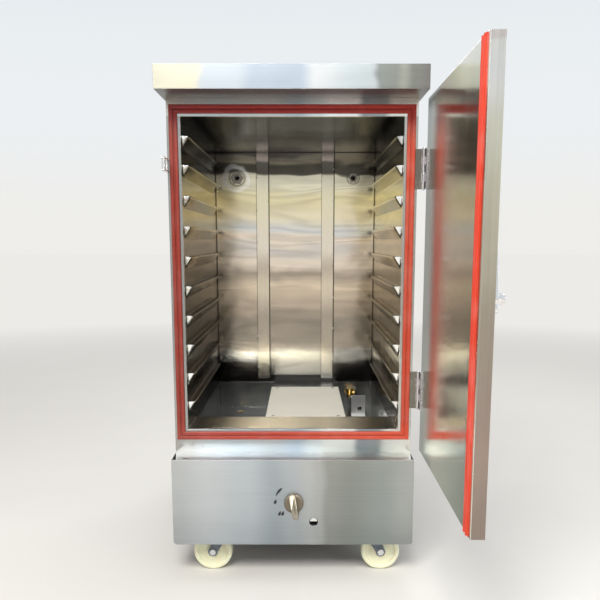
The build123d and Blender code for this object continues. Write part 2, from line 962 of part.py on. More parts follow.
def door_strip_seal():
    """Flat strip with two round beads, down the free side of the door."""
    left = door_free + strip_seal_inset
    mid = left + strip_seal_width / 2
    right = left + strip_seal_width
    strip = slab(left, right, door_inner, door_inner + strip_seal_base, door_foot, door_head)
    for side in (-1, 1):
        strip += rod_z(mid + side * bead_spread, door_inner, bead_r, door_foot, door_head)
    behind = slab(
        left - overrun,
        right + overrun,
        door_inner - bead_r - overrun,
        door_inner,
        door_foot - overrun,
        door_head + overrun,
    )
    return hung(strip - behind)


def cabinet_gasket():
    """Push-in seal round the opening: a web in the channel and two beads standing proud of it."""
    inner = lip_width + seat_gap
    outer = lip_width + channel_width - seat_gap
    seal = ring(around_opening(outer), around_opening(inner), -gasket_web, channel_depth)
    for near, far in ((inner, inner + gasket_bead), (outer - gasket_bead, outer)):
        bead = ring(around_opening(far), around_opening(near), -gasket_proud, -gasket_web)
        bead = fillet(bead.edges().group_by(Axis.Y)[0], gasket_round)
        seal += bead
    return seal


# Hinges

def hinge_feet():
    lower = base_height + lower_hinge_rise
    upper = body_top - upper_hinge_drop - hinge_length
    return (lower, upper)


def hinge_leaf(foot, leaf, first):
    """One leaf with every second knuckle, from the first named, notched for the others."""
    pitch = hinge_length / hinge_knuckles
    for i in range(hinge_knuckles):
        z0, z1 = foot + i * pitch, foot + (i + 1) * pitch
        if i % 2 == first:
            leaf += rod_z(hinge_x, hinge_y, barrel_r, z0 + moving_gap / 2, z1 - moving_gap / 2)
        else:
            reach = barrel_r + moving_gap
            leaf -= slab(hinge_x - reach, hinge_x + reach, hinge_y - reach, hinge_y + reach, z0, z1)
    head = foot + hinge_length
    return leaf - rod_z(hinge_x, hinge_y, pin_r + running_gap, foot - overrun, head + overrun)


def hinge_frame_leaves():
    near = half_cavity + lip_width + channel_width
    leaves = []
    for foot in hinge_feet():
        leaf = slab(near, hinge_x, -leaf_sheet, 0, foot, foot + hinge_length)
        leaves.append(hinge_leaf(foot, leaf, 0))
    return Compound(leaves)


def hinge_door_leaves():
    leaves = []
    for foot in hinge_feet():
        front = door_inner + leaf_sheet
        leaf = slab(hinge_x - leaf_width, hinge_x, door_inner, front, foot, foot + hinge_length)
        leaves.append(hung(hinge_leaf(foot, leaf, 1)))
    return Compound(leaves)


def hinge_pins():
    pins = []
    for foot in hinge_feet():
        head = foot + hinge_length
        pin = rod_z(hinge_x, hinge_y, pin_r, foot, head)
        pin += rod_z(hinge_x, hinge_y, pin_head_r, foot - pin_head, foot)
        pins.append(pin + rod_z(hinge_x, hinge_y, pin_head_r, head, head + pin_head))
    return Compound(pins)


# Latch on the door and keeper on the casing

def latch_boss():
    hub = rod_y(latch_x, latch_z, hub_r, door_outer - hub_height, door_outer)
    stud = rod_y(latch_x, latch_z, boss_r, door_outer - boss_length, door_outer)
    nut_back = lever_front - moving_gap
    return hung(hub + stud + nut_y(latch_x, latch_z, nut_r, nut_back - nut_height, nut_back))


def latch_lever():
    """Flat lever with a side finger at its head and a rounded tail, tilted as when it is unhooked."""
    half = latch_width / 2
    finger_half = finger_height / 2
    finger_z = latch_z + latch_reach
    tail_z = latch_z - latch_tail + tail_r
    lever = slab(latch_x - half, latch_x + half, lever_front, lever_back, latch_z, finger_z + finger_half)
    lever += slab(
        latch_x - finger_reach,
        latch_x + half,
        lever_front,
        lever_back,
        finger_z - finger_half,
        finger_z + finger_half,
    )
    lever += rod_y(latch_x, latch_z, half, lever_front, lever_back)
    lever += slab(latch_x - tail_r, latch_x + tail_r, lever_front, lever_back, tail_z, latch_z)
    lever += rod_y(latch_x, tail_z, tail_r, lever_front, lever_back)
    lever -= rod_y(latch_x, latch_z, boss_r + running_gap, lever_front - overrun, lever_back + overrun)
    return hung(lever.rotate(Axis((latch_x, 0, latch_z), (0, 1, 0)), latch_tilt))


def keeper_bracket():
    """Foot on the side panel and two ears that reach forward round the roller."""
    outer = -half_width - keeper_out
    inner = door_free - keeper_clearance
    low, high = keeper_z - keeper_mouth / 2, keeper_z + keeper_mouth / 2
    foot_front = keeper_rear - keeper_foot
    foot_face = -half_width - keeper_sheet
    bracket = slab(foot_face, -half_width, foot_front, keeper_rear, low - keeper_sheet, high + keeper_sheet)
    for z0, z1 in ((low - keeper_sheet, low), (high, high + keeper_sheet)):
        bracket += slab(outer, -half_width, -keeper_step, keeper_rear, z0, z1)
        bracket += slab(outer, inner, -keeper_front, -keeper_step, z0, z1)
    for share in keeper_screw_shares:
        y = foot_front + keeper_foot * share
        bracket += rod_x(y, keeper_z, keeper_screw_r, foot_face - keeper_screw, foot_face)
    hole_z = keeper_sheet + overrun
    return bracket - rod_z(roller_x, roller_y, roller_pin_r + running_gap, low - hole_z, high + hole_z)


def keeper_pin():
    low = keeper_z - keeper_mouth / 2 - keeper_sheet
    high = keeper_z + keeper_mouth / 2 + keeper_sheet
    pin = rod_z(roller_x, roller_y, roller_pin_r, low, high)
    pin += rod_z(roller_x, roller_y, roller_pin_head_r, low - roller_pin_head, low)
    return pin + rod_z(roller_x, roller_y, roller_pin_head_r, high, high + roller_pin_head)


def keeper_roller():
    half = keeper_mouth / 2 - moving_gap
    roller = rod_z(roller_x, roller_y, roller_r, keeper_z - half, keeper_z + half)
    bore = roller_pin_r + running_gap
    return roller - rod_z(roller_x, roller_y, bore, keeper_z - keeper_mouth, keeper_z + keeper_mouth)


# Castors

def castor_plates():
    """Each mounting plate with its bolts and the king stud that carries the fork."""
    plates = []
    half = castor_plate / 2
    for x, y, _ in castor_places().values():
        plate = slab(x - half, x + half, y - half, y + half, plate_foot, castor_height)
        nut_foot = castor_height + base_angle
        for bolt_x, bolt_y in plate_bolt_places(x, y):
            plate += rod_z(bolt_x, bolt_y, plate_bolt_r, plate_foot, nut_foot + plate_nut)
            plate += nut_z(bolt_x, bolt_y, plate_nut_r, nut_foot, nut_foot + plate_nut)
            plate += rod_z(bolt_x, bolt_y, plate_nut_r, plate_foot - plate_bolt_head, plate_foot)
        nut_head = crown_foot - moving_gap
        plate += rod_z(x, y, king_r, nut_head - king_nut, plate_foot)
        plate += nut_z(x, y, king_nut_r, nut_head - king_nut, nut_head)
        plates.append(plate)
    return Compound(plates)


def castor_fork(x, y, side):
    """Swivel head, crown and two tapered legs down to the axle."""
    hub_x = x + side * castor_trail
    leg_in = wheel_width / 2 + wheel_gap
    leg_out = leg_in + leg_sheet
    fork = rod_z(x, y, head_r, head_foot, plate_foot - moving_gap)
    fork += slab(x - crown_half, x + crown_half, y - leg_out, y + leg_out, crown_foot, head_foot)
    leg = [
        (x - crown_half, head_foot),
        (x + crown_half, head_foot),
        (hub_x + leg_foot_r, wheel_r),
        (hub_x - leg_foot_r, wheel_r),
    ]
    for y0, y1 in ((y - leg_out, y - leg_in), (y + leg_in, y + leg_out)):
        fork += outline_along_y(leg, y0, y1) + rod_y(hub_x, wheel_r, leg_foot_r, y0, y1)
    fork -= rod_y(hub_x, wheel_r, axle_r + running_gap, y - leg_out - overrun, y + leg_out + overrun)
    return fork - rod_z(x, y, king_r + running_gap, crown_foot - overrun, castor_height)


def castor_wheel(x, y, side):
    """Solid nylon wheel with a rounded tread and a recess in each face."""
    hub_x = x + side * castor_trail
    half = wheel_width / 2
    low, high = y - half, y + half
    wheel = rod_y(hub_x, wheel_r, wheel_r, low, high)
    wheel = fillet(wheel.edges().filter_by(GeomType.CIRCLE), wheel_round)
    for y0, y1 in ((low - overrun, low + wheel_recess), (high - wheel_recess, high + overrun)):
        dish = rod_y(hub_x, wheel_r, wheel_r - wheel_rim, y0, y1)
        wheel -= dish - rod_y(hub_x, wheel_r, wheel_hub_r, y0, y1)
    return wheel - rod_y(hub_x, wheel_r, axle_r + running_gap, low - overrun, high + overrun)


def castor_axle(x, y, side):
    hub_x = x + side * castor_trail
    leg_out = wheel_width / 2 + wheel_gap + leg_sheet
    axle = rod_y(hub_x, wheel_r, axle_r, y - leg_out, y + leg_out)
    axle += nut_y(hub_x, wheel_r, axle_head_r, y - leg_out - axle_head, y - leg_out)
    return axle + nut_y(hub_x, wheel_r, axle_head_r, y + leg_out, y + leg_out + axle_head)


# The whole part

def all_parts():
    parts = {
        "side_panel_left": side_panel_left(),
        "side_panel_right": mirrored(side_panel_left()),
        "back_panel": back_panel(),
        "roof_panel": roof_panel(),
        "top_cap": top_cap(),
        "base_frame": base_frame(),
        "front_frame": front_frame(),
        "control_panel": control_panel(),
        "cabinet_insulation": cabinet_insulation(),
        "cabinet_gasket": cabinet_gasket(),
        "liner_left": liner_left(),
        "liner_right": mirrored(liner_left()),
        "liner_top": liner_top(),
        "liner_back": liner_back(),
        "back_wall_strips": back_wall_strips(),
        "back_centre_panel": back_centre_panel(),
        "steam_port_left": steam_port(-1, port_left_nut_r),
        "steam_port_right": steam_port(1, port_right_nut_r),
        "water_tank": water_tank(),
        "front_sill": front_sill(),
        "fire_box": fire_box(),
        "splash_plate": splash_plate(),
        "splash_plate_screws": splash_plate_screws(),
        "flue_duct": flue_duct(),
        "burner": burner(),
        "gas_pipe": gas_pipe(),
        "gas_valve": gas_valve(),
        "valve_stem": valve_stem(),
        "gas_knob": gas_knob(),
        "float_valve": float_valve(),
        "float_arm": float_arm(),
        "float_ball": float_ball(),
        "float_guard": float_guard(),
        "drain_valve": drain_valve(),
        "drain_lever": drain_lever(),
        "door_outer_skin": door_outer_skin(),
        "door_inner_skin": door_inner_skin(),
        "door_insulation": door_insulation(),
        "door_strip_seal": door_strip_seal(),
        "hinge_frame_leaves": hinge_frame_leaves(),
        "hinge_door_leaves": hinge_door_leaves(),
        "hinge_pins": hinge_pins(),
        "latch_boss": latch_boss(),
        "latch_lever": latch_lever(),
        "keeper_bracket": keeper_bracket(),
        "keeper_pin": keeper_pin(),
        "keeper_roller": keeper_roller(),
        "castor_plates": castor_plates(),
    }
    for name, (x, y, side) in castor_places().items():
        parts["castor_fork_" + name] = castor_fork(x, y, side)
        parts["castor_wheel_" + name] = castor_wheel(x, y, side)
        parts["castor_axle_" + name] = castor_axle(x, y, side)
    return parts


parts = all_parts()
boxes = [shape.bounding_box() for shape in parts.values()]
middle_x = (min(box.min.X for box in boxes) + max(box.max.X for box in boxes)) / 2
middle_y = (min(box.min.Y for box in boxes) + max(box.max.Y for box in boxes)) / 2
print("origin of the part, from the middle of the casing's front face:", middle_x, middle_y)
os.makedirs("parts", exist_ok=True)
for name, shape in parts.items():
    export_step(Pos(-middle_x, -middle_y, 0) * shape, "parts/" + name + ".step")
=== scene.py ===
"""Looks of a gas rice steamer cabinet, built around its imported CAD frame.

Sizes are in millimetres in the cabinet's own coordinates: X runs to the right from the middle of the
casing, Y into the cabinet from its front face, and Z up from the floor. The function at() turns such a
place into a point of the frame, in metres.
"""

from __future__ import annotations

import json
import logging
import math
from collections.abc import Iterable, Sequence
from dataclasses import dataclass, replace
from enum import Enum, IntEnum
from typing import Any

import bmesh
import bpy
from mathutils import Matrix, Vector

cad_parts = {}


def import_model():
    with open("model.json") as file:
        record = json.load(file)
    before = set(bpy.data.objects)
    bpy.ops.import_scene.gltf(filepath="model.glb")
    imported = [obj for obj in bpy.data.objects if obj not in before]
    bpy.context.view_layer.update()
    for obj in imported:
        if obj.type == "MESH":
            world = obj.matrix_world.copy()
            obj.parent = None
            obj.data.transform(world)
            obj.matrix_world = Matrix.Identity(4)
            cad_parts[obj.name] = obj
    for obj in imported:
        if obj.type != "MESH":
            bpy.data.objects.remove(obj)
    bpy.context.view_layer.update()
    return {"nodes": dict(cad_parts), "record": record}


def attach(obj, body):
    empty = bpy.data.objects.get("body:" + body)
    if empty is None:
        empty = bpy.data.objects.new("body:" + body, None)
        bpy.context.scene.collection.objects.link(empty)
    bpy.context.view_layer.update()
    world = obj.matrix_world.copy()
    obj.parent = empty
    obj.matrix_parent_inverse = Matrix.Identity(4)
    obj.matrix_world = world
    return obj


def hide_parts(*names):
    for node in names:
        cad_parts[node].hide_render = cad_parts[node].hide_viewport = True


LOG = logging.getLogger("rice_steamer")
MM = 0.001
MIDDLE_X = 24.5
MIDDLE_Y = 81.75

# Sizes of the CAD model that finishes and pieces share
CASING_HALF = 241.5
CHAMBER_HALF = 215.0
CHAMBER_REAR = 600.0
WALL_FOOT = 286.0
WALL_HEAD = 913.0
BACK_FOOT = 297.0
BACK_HEAD = 912.0
DOOR_FOOT = 258.5
DOOR_HEAD = 942.0
PORT_SPREAD = 156.7
PORT_Z = 845.0
KNOB_X = 2.0
KNOB_Z = 160.0

Colour = tuple[float, float, float]
Place = tuple[float, float, float]
Tones = tuple[tuple[float, Colour], ...]
Outline = list[tuple[float, float]]
Ring = Sequence[bmesh.types.BMVert]
Socket = bpy.types.NodeSocket


class Axis(IntEnum):
    """An axis of the cabinet."""

    X = 0
    Y = 1
    Z = 2


class Grain(Enum):
    """Which way a sheet was brushed, as how fast its streaks change along X, Y and Z, per metre."""

    ALONG_X = (5.0, 900.0, 900.0)
    ALONG_Y = (900.0, 5.0, 900.0)
    ALONG_Z = (900.0, 900.0, 5.0)
    EVEN = (260.0, 260.0, 260.0)


class Side(Enum):
    """The side of the cabinet that a piece belongs to, and the sign of its X."""

    LEFT = -1
    RIGHT = 1


class Castor(Enum):
    """The castor that a wheel belongs to, and its place as signs of X and of Y."""

    FRONT_LEFT = (-1, -1)
    FRONT_RIGHT = (1, -1)
    REAR_LEFT = (-1, 1)
    REAR_RIGHT = (1, 1)


def at(x: float, y: float, z: float) -> Vector:
    """Turn a place on the cabinet into a point of the frame.

    Args:
        x: millimetres to the right of the casing's middle.
        y: millimetres behind the casing's front face.
        z: millimetres above the floor.

    Returns:
        The point in metres.
    """
    return Vector((x - MIDDLE_X, y - MIDDLE_Y, z)) * MM


def along(axis: int, place: float) -> float:
    """Turn a place along one of the cabinet's axes, in millimetres, into the frame's metres."""
    return at(place, place, place)[axis]


def opaque(colour: Colour) -> tuple[float, ...]:
    """Return a colour with the full alpha that a node's socket wants."""
    return (*colour, 1.0)


class Wiring:
    """A node tree that is filled node by node."""

    def __init__(self, tree: bpy.types.NodeTree) -> None:
        """Keep the tree.

        Args:
            tree: the node tree to fill.
        """
        self.tree = tree

    def add(self, kind: str, inputs: dict[str | int, Any] | None = None, **settings: Any) -> bpy.types.Node:
        """Add a node, with its settings, its values and what is linked to it.

        Args:
            kind: the node's type.
            inputs: values or output sockets, by the input's name or number.
            **settings: the node's own properties.

        Returns:
            The new node.
        """
        node = self.tree.nodes.new(kind)
        for name, value in settings.items():
            setattr(node, name, value)
        for key, value in (inputs or {}).items():
            if isinstance(value, Socket):
                self.tree.links.new(value, node.inputs[key])
            else:
                node.inputs[key].default_value = value
        return node

    def math(self, operation: str, *values: Any) -> Socket:
        """Add a Math node and return its output."""
        return self.add("ShaderNodeMath", dict(enumerate(values)), operation=operation).outputs[0]

    def plus(self, first: Any, second: Any) -> Socket:
        """Return the sum of two values."""
        return self.math("ADD", first, second)

    def minus(self, first: Any, second: Any) -> Socket:
        """Return the difference between two values."""
        return self.math("SUBTRACT", first, second)

    def times(self, first: Any, second: Any) -> Socket:
        """Return the product of two values."""
        return self.math("MULTIPLY", first, second)

    def vector(self, operation: str, *values: Any, output: int = 0) -> Socket:
        """Add a Vector Math node and return its vector output, or its value output, which is number 1."""
        return self.add("ShaderNodeVectorMath", dict(enumerate(values)), operation=operation).outputs[output]

    def between(self, value: Any, low: float, high: float, to_low: float, to_high: float) -> Socket:
        """Map a value from one range to another, clamped, and return it."""
        values = dict(enumerate((value, low, high, to_low, to_high)))
        return self.add("ShaderNodeMapRange", values).outputs[0]

    def spread(
        self, noise: Any, to_low: float, to_high: float, low: float = 0.3, high: float = 0.7
    ) -> Socket:
        """Stretch the middle of a noise's range, where nearly all of it lies, over another range."""
        return self.between(noise, low, high, to_low, to_high)

    def parts(self, vector: Any) -> bpy.types.bpy_prop_collection:
        """Return the X, Y and Z outputs of a vector."""
        return self.add("ShaderNodeSeparateXYZ", {0: vector}).outputs

    def noise(self, where: Any, scale: float, detail: float = 2.0, twist: float = 0.0) -> Socket:
        """Add a noise over the given coordinates and return its value, from 0 to 1."""
        inputs = {"Vector": where, "Scale": scale, "Detail": detail, "Distortion": twist}
        return self.add("ShaderNodeTexNoise", inputs).outputs[0]

    def bump(self, height: Any, depth: float, normal: Any = None, strength: float = 1.0) -> Socket:
        """Add a Bump node and return the bumped normal.

        Args:
            height: the socket of the relief, from 0 to 1.
            depth: the relief's depth in metres.
            normal: the normal that it starts from, if not the surface's own.
            strength: how much of the relief shows.

        Returns:
            The normal's socket.
        """
        inputs = {"Strength": strength, "Distance": depth, "Height": height}
        if normal is not None:
            inputs["Normal"] = normal
        return self.add("ShaderNodeBump", inputs).outputs[0]

    def mix(self, share: Any, first: Any, second: Any, blend: str = "MIX") -> Socket:
        """Blend two colours and return the result."""
        node = self.add("ShaderNodeMix", {0: share, 6: first, 7: second}, data_type="RGBA", blend_type=blend)
        return node.outputs[2]

    def ramp(self, value: Any, tones: Tones) -> Socket:
        """Turn a value into a colour through tones placed from 0 to 1, and return it."""
        node = self.add("ShaderNodeValToRGB", {0: value})
        band = node.color_ramp
        band.interpolation = "EASE"
        while len(band.elements) < len(tones):
            band.elements.new(0.5)
        for element, (place, colour) in zip(band.elements, tones):
            element.position = place
            element.color = opaque(colour)
        return node.outputs[0]


def fresh_wiring(owner: bpy.types.Material | bpy.types.World) -> Wiring:
    """Give a material or a world an empty node tree, and return it for filling."""
    owner.use_nodes = True
    owner.node_tree.nodes.clear()
    return Wiring(owner.node_tree)


@dataclass(frozen=True)
class Finish:
    """What a surface is made of. Each kind of finish fills a material's nodes its own way."""

    name: str

    def material(self) -> bpy.types.Material:
        """Return the finish's material, made on the first call."""
        found = bpy.data.materials.get(self.name)
        if found:
            return found
        made = bpy.data.materials.new(self.name)
        wiring = fresh_wiring(made)
        where = wiring.add("ShaderNodeTexCoord").outputs["Object"]
        surface = self.surface(wiring, where)
        wiring.add("ShaderNodeOutputMaterial", {"Surface": surface.outputs[0]})
        return made

    def surface(self, wiring: Wiring, where: Socket) -> bpy.types.Node:
        """Add the shader and what feeds it.

        Args:
            wiring: the material's tree.
            where: the piece's own coordinates, in metres.

        Returns:
            The shader node.
        """
        raise NotImplementedError


@dataclass(frozen=True)
class Sweep:
    """Painted reflection and shade: soft tones along one axis, standing for what sheet metal mirrors of the
    room around it.
    """

    axis: Axis
    start: float
    stop: float
    tones: Tones
    swirl: float = 0.0
    stretch: Place = (3.0, 3.0, 6.0)

    def colour(self, wiring: Wiring, where: Socket) -> Socket:
        """Return the sweep's colour.

        Args:
            wiring: the material's tree.
            where: the piece's own coordinates, in metres.

        Returns:
            The colour's socket.
        """
        low, high = (along(self.axis, place) for place in (self.start, self.stop))
        share = wiring.between(wiring.parts(where)[self.axis], low, high, 0.0, 1.0)
        if self.swirl:
            sway = wiring.noise(wiring.vector("MULTIPLY", where, self.stretch), 1.0, 2.5, 1.1)
            share = wiring.plus(share, wiring.spread(sway, -self.swirl, self.swirl, 0.2, 0.8))
        return wiring.ramp(share, self.tones)


@dataclass(frozen=True)
class Seam:
    """A line across one axis: painted shade in the gap where two sheets meet, or a painted highlight where
    an edge catches the light, as its colour says.
    """

    axis: Axis
    place: float
    half: float = 1.2
    share: float = 0.85
    colour: Colour = (0.035, 0.030, 0.025)
    core: float = 0.4

    def cover(self, wiring: Wiring, where: Socket) -> Socket:
        """Return how much of each point the line covers.

        Args:
            wiring: the material's tree.
            where: the piece's own coordinates, in metres.

        Returns:
            The share's socket.
        """
        off = wiring.minus(wiring.parts(where)[self.axis], along(self.axis, self.place))
        off = wiring.math("ABSOLUTE", off)
        return wiring.between(off, self.core * self.half * MM, self.half * MM, self.share, 0.0)


@dataclass(frozen=True)
class Patch:
    """A box-shaped place in deep shade, such as the gap beside a hinge's knuckle."""

    low: Place
    high: Place
    share: float = 0.95
    colour: Colour = (0.02, 0.018, 0.018)

    def cover(self, wiring: Wiring, where: Socket) -> Socket:
        """Return how much of each point the patch covers, as Seam.cover does."""
        inside = self.share
        for value, low, high in zip(wiring.parts(where), at(*self.low), at(*self.high)):
            inside = wiring.times(inside, wiring.math("GREATER_THAN", value, low))
            inside = wiring.times(inside, wiring.math("LESS_THAN", value, high))
        return inside


@dataclass(frozen=True)
class Ring:
    """A soft ring painted on the back wall round a fitting: a painted highlight where the sheet is dished,
    or painted shade round a port, as its colour says.
    """

    x: float
    z: float
    radius: float
    half: float
    share: float = 0.7
    colour: Colour = (0.96, 0.95, 0.90)
    sway: float = 3.0
    core: float = 0.3

    def cover(self, wiring: Wiring, where: Socket) -> Socket:
        """Return how much of each point the ring covers, as Seam.cover does."""
        level = wiring.vector("MULTIPLY", where, (1.0, 0.0, 1.0))
        middle = at(self.x, 0.0, self.z)
        far = wiring.vector("DISTANCE", level, (middle.x, 0.0, middle.z), output=1)
        sway = self.sway * MM
        far = wiring.plus(far, wiring.spread(wiring.noise(where, 16.0, 2.0), -sway, sway))
        off = wiring.math("ABSOLUTE", wiring.minus(far, self.radius * MM))
        return wiring.between(off, self.core * self.half * MM, self.half * MM, self.share, 0.0)


@dataclass(frozen=True)
class Steel(Finish):
    """Sheet steel, brushed or polished, and as far from flat as thin sheet is.

    The tones of its sweeps are painted reflections of the room that it mirrors. Where elsewhere is set,
    only faces that look out of the cabinet's front take those painted tones, and the others take that
    colour. The share graze carries the tones into the glancing reflection, and depth is the tones' share
    in the colour itself. Its shades paint shade in gaps and corners and highlights on edges, its edge
    colour paints a highlight along rounded edges, facing and ends paint faces lighter or darker by which
    way they look, and ripple paints contour lines of reflection.
    """

    tint: Colour
    grain: Grain = Grain.ALONG_X
    gloss: float = 0.28
    metal: float = 1.0
    streak: float = 0.10
    brush_depth: float = 0.000012
    wave: float = 5.0
    wave_depth: float = 0.0006
    smudge: float = 0.06
    edge: float = 0.0007
    # Painted highlight along rounded edges: its colour and its share
    edge_highlight: Colour = (0.95, 0.94, 0.92)
    edge_highlight_share: float = 0.5
    sweeps: tuple[Sweep, ...] = ()
    elsewhere: Colour | None = None
    shades: tuple[Seam | Patch | Ring, ...] = ()
    # facing and ends paint light and shade: a face is made darker or lighter by whether it looks down, level
    # or up, and by how far it looks along Y
    facing: Place = (1.0, 1.0, 1.0)
    ends: float = 1.0
    ripple: float = 0.0
    ripple_lines: float = 55.0
    graze: float = 0.0
    depth: float = 1.0

    def facing_level(self, wiring: Wiring, normal: Socket) -> Socket:
        """Return the painted light and shade of a face: by whether it faces down, level or up, and by facing
        along Y.
        """
        down, level, up = self.facing
        turn = wiring.parts(normal)
        below = wiring.between(turn[Axis.Z], -0.42, -0.1, down - level, 0.0)
        above = wiring.between(turn[Axis.Z], 0.1, 0.8, 0.0, up - level)
        tilt = wiring.plus(level, wiring.plus(below, above))
        end = wiring.between(wiring.math("ABSOLUTE", turn[Axis.Y]), 0.15, 0.6, 1.0, self.ends)
        return wiring.times(tilt, end)

    def rippled(self, wiring: Wiring, where: Socket) -> Socket:
        """Return painted light and dark contour lines, standing for the reflections that thin wavy polished
        sheet shows.
        """
        sheet = wiring.noise(wiring.vector("MULTIPLY", where, (1.9, 1.9, 11.0)), 1.0, 2.5, 0.6)
        lines = wiring.math("SINE", wiring.times(sheet, self.ripple_lines))
        return wiring.between(lines, -1.0, 1.0, 1.0 - self.ripple, 1.0)

    def tone(self, wiring: Wiring, where: Socket, sweep: Sweep) -> Socket:
        """Return a sweep's painted reflection on the faces that take it, and the other colour on the rest.
        """
        tone = sweep.colour(wiring, where)
        if self.elsewhere:
            own = wiring.add("ShaderNodeTexCoord").outputs["Normal"]
            front = wiring.between(wiring.parts(own)[Axis.Y], -0.7, -0.4, 1.0, 0.0)
            tone = wiring.mix(front, opaque(self.elsewhere), tone)
        return tone

    def surface(self, wiring: Wiring, where: Socket) -> bpy.types.Node:
        """Add the steel's shader: streaks, smudges, painted reflections and shade, painted highlights on
        rounded edges and a wavy sheet.
        """
        streaks = wiring.noise(wiring.vector("MULTIPLY", where, self.grain.value), 1.0, 3.0)
        smudges = wiring.noise(where, 9.0, 4.0, 0.6)
        waves = wiring.noise(where, self.wave, 1.0, 0.4)
        rounded = wiring.add("ShaderNodeBevel", {"Radius": self.edge}, samples=4).outputs[0]
        flat = wiring.add("ShaderNodeNewGeometry").outputs["Normal"]
        edge_highlight = wiring.between(wiring.vector("DOT_PRODUCT", rounded, flat, output=1), 1.0, 0.8, 0.0, 1.0)
        level = wiring.spread(streaks, 1.0 - self.streak, 1.0)
        level = wiring.times(level, wiring.spread(smudges, 1.0 - self.smudge, 1.0))
        # Painted light and shade by which way each face looks
        if self.facing != (1.0, 1.0, 1.0):
            level = wiring.times(level, self.facing_level(wiring, flat))
        # Painted contour lines of reflection
        if self.ripple:
            level = wiring.times(level, self.rippled(wiring, where))
        grey = wiring.add("ShaderNodeCombineColor", {0: level, 1: level, 2: level}).outputs[0]
        colour = wiring.mix(1.0, opaque(self.tint), grey, "MULTIPLY")
        rim = opaque((1.0, 1.0, 1.0))
        # Painted reflections and shade of the room, from the sweeps, multiplied into the colour
        for sweep in self.sweeps:
            tone = self.tone(wiring, where, sweep)
            colour = wiring.mix(self.depth, colour, tone, "MULTIPLY")
            if self.graze:
                rim = wiring.mix(self.graze, rim, tone, "MULTIPLY")
        # Painted highlight: rounded edges are lightened towards the edge colour
        colour = wiring.mix(wiring.times(edge_highlight, self.edge_highlight_share), colour, opaque(self.edge_highlight))
        # Painted shade in gaps and corners, and painted highlights, from the shades
        for shade in self.shades:
            colour = wiring.mix(shade.cover(wiring, where), colour, opaque(shade.colour))
        rough = wiring.plus(wiring.spread(streaks, 0.0, 0.07), self.gloss)
        rough = wiring.plus(rough, wiring.spread(smudges, 0.0, 0.05, 0.35))
        sheet = wiring.bump(waves, self.wave_depth, rounded)
        inputs = {
            "Base Color": colour,
            "Metallic": self.metal,
            "Roughness": rough,
            "Specular Tint": rim,
            "Normal": wiring.bump(streaks, self.brush_depth, sheet),
        }
        return wiring.add("ShaderNodeBsdfPrincipled", inputs)


@dataclass(frozen=True)
class Silicone(Finish):
    """Moulded silicone seal with dust and a slight bloom."""

    tint: Colour
    sweeps: tuple[Sweep, ...] = ()
    dusty: Colour = (0.80, 0.62, 0.52)

    def surface(self, wiring: Wiring, where: Socket) -> bpy.types.Node:
        """Add the silicone's shader."""
        bloom = wiring.noise(where, 22.0, 4.0, 0.5)
        dust = wiring.noise(where, 700.0, 2.0)
        pale = tuple(min(1.0, 0.25 + 0.85 * c) for c in self.tint)
        colour = wiring.mix(wiring.between(bloom, 0.45, 0.8, 0.0, 0.28), opaque(self.tint), opaque(pale))
        for sweep in self.sweeps:
            colour = wiring.mix(1.0, colour, sweep.colour(wiring, where), "MULTIPLY")
        colour = wiring.mix(wiring.between(dust, 0.62, 0.8, 0.0, 0.2), colour, opaque(self.dusty))
        inputs = {
            "Base Color": colour,
            "Roughness": wiring.spread(bloom, 0.30, 0.44),
            "Specular IOR Level": 0.45,
            "Normal": wiring.bump(dust, 0.00005, strength=0.5),
        }
        return wiring.add("ShaderNodeBsdfPrincipled", inputs)


@dataclass(frozen=True)
class Coated(Finish):
    """Paint, plating or moulded plastic: a tint with grime, fine texture and its own metal share."""

    tint: Colour
    grime: Colour
    grime_share: float = 0.3
    gloss: float = 0.4
    metal: float = 0.0
    grain: float = 500.0
    grain_depth: float = 0.00004
    patch: float = 25.0
    soft: float = 0.0
    edge: float = 0.0006

    def surface(self, wiring: Wiring, where: Socket) -> bpy.types.Node:
        """Add the coating's shader."""
        patches = wiring.noise(where, self.patch, 5.0, 0.8)
        fine = wiring.noise(where, self.grain, 3.0)
        share = wiring.between(patches, 0.42, 0.75, 0.0, self.grime_share)
        colour = wiring.mix(share, opaque(self.tint), opaque(self.grime))
        light = tuple(min(1.0, 1.12 * c) for c in self.tint)
        colour = wiring.mix(wiring.between(fine, 0.5, 0.75, 0.0, 0.5), colour, opaque(light))
        rounded = wiring.add("ShaderNodeBevel", {"Radius": self.edge}, samples=4).outputs[0]
        inputs = {
            "Base Color": colour,
            "Metallic": self.metal,
            "Roughness": wiring.plus(wiring.spread(patches, 0.0, 0.15), self.gloss),
            "Subsurface Weight": self.soft,
            "Subsurface Scale": 0.004,
            "Normal": wiring.bump(fine, self.grain_depth, rounded),
        }
        return wiring.add("ShaderNodeBsdfPrincipled", inputs)


@dataclass(frozen=True)
class Foam(Finish):
    """Poured insulation with open pores."""

    tint: Colour
    aged: Colour = (0.72, 0.50, 0.22)

    def surface(self, wiring: Wiring, where: Socket) -> bpy.types.Node:
        """Add the foam's shader."""
        pores = wiring.add("ShaderNodeTexVoronoi", {"Vector": where, "Scale": 420.0}).outputs[0]
        age = wiring.noise(where, 14.0, 4.0)
        # Pores painted darker, as painted shade inside them
        dark = tuple(0.62 * c for c in self.tint)
        colour = wiring.mix(wiring.between(pores, 0.0, 0.5, 0.7, 0.0), opaque(self.tint), opaque(dark))
        colour = wiring.mix(wiring.between(age, 0.4, 0.8, 0.0, 0.35), colour, opaque(self.aged))
        inputs = {"Base Color": colour, "Roughness": 0.95, "Normal": wiring.bump(pores, 0.0006)}
        return wiring.add("ShaderNodeBsdfPrincipled", inputs)


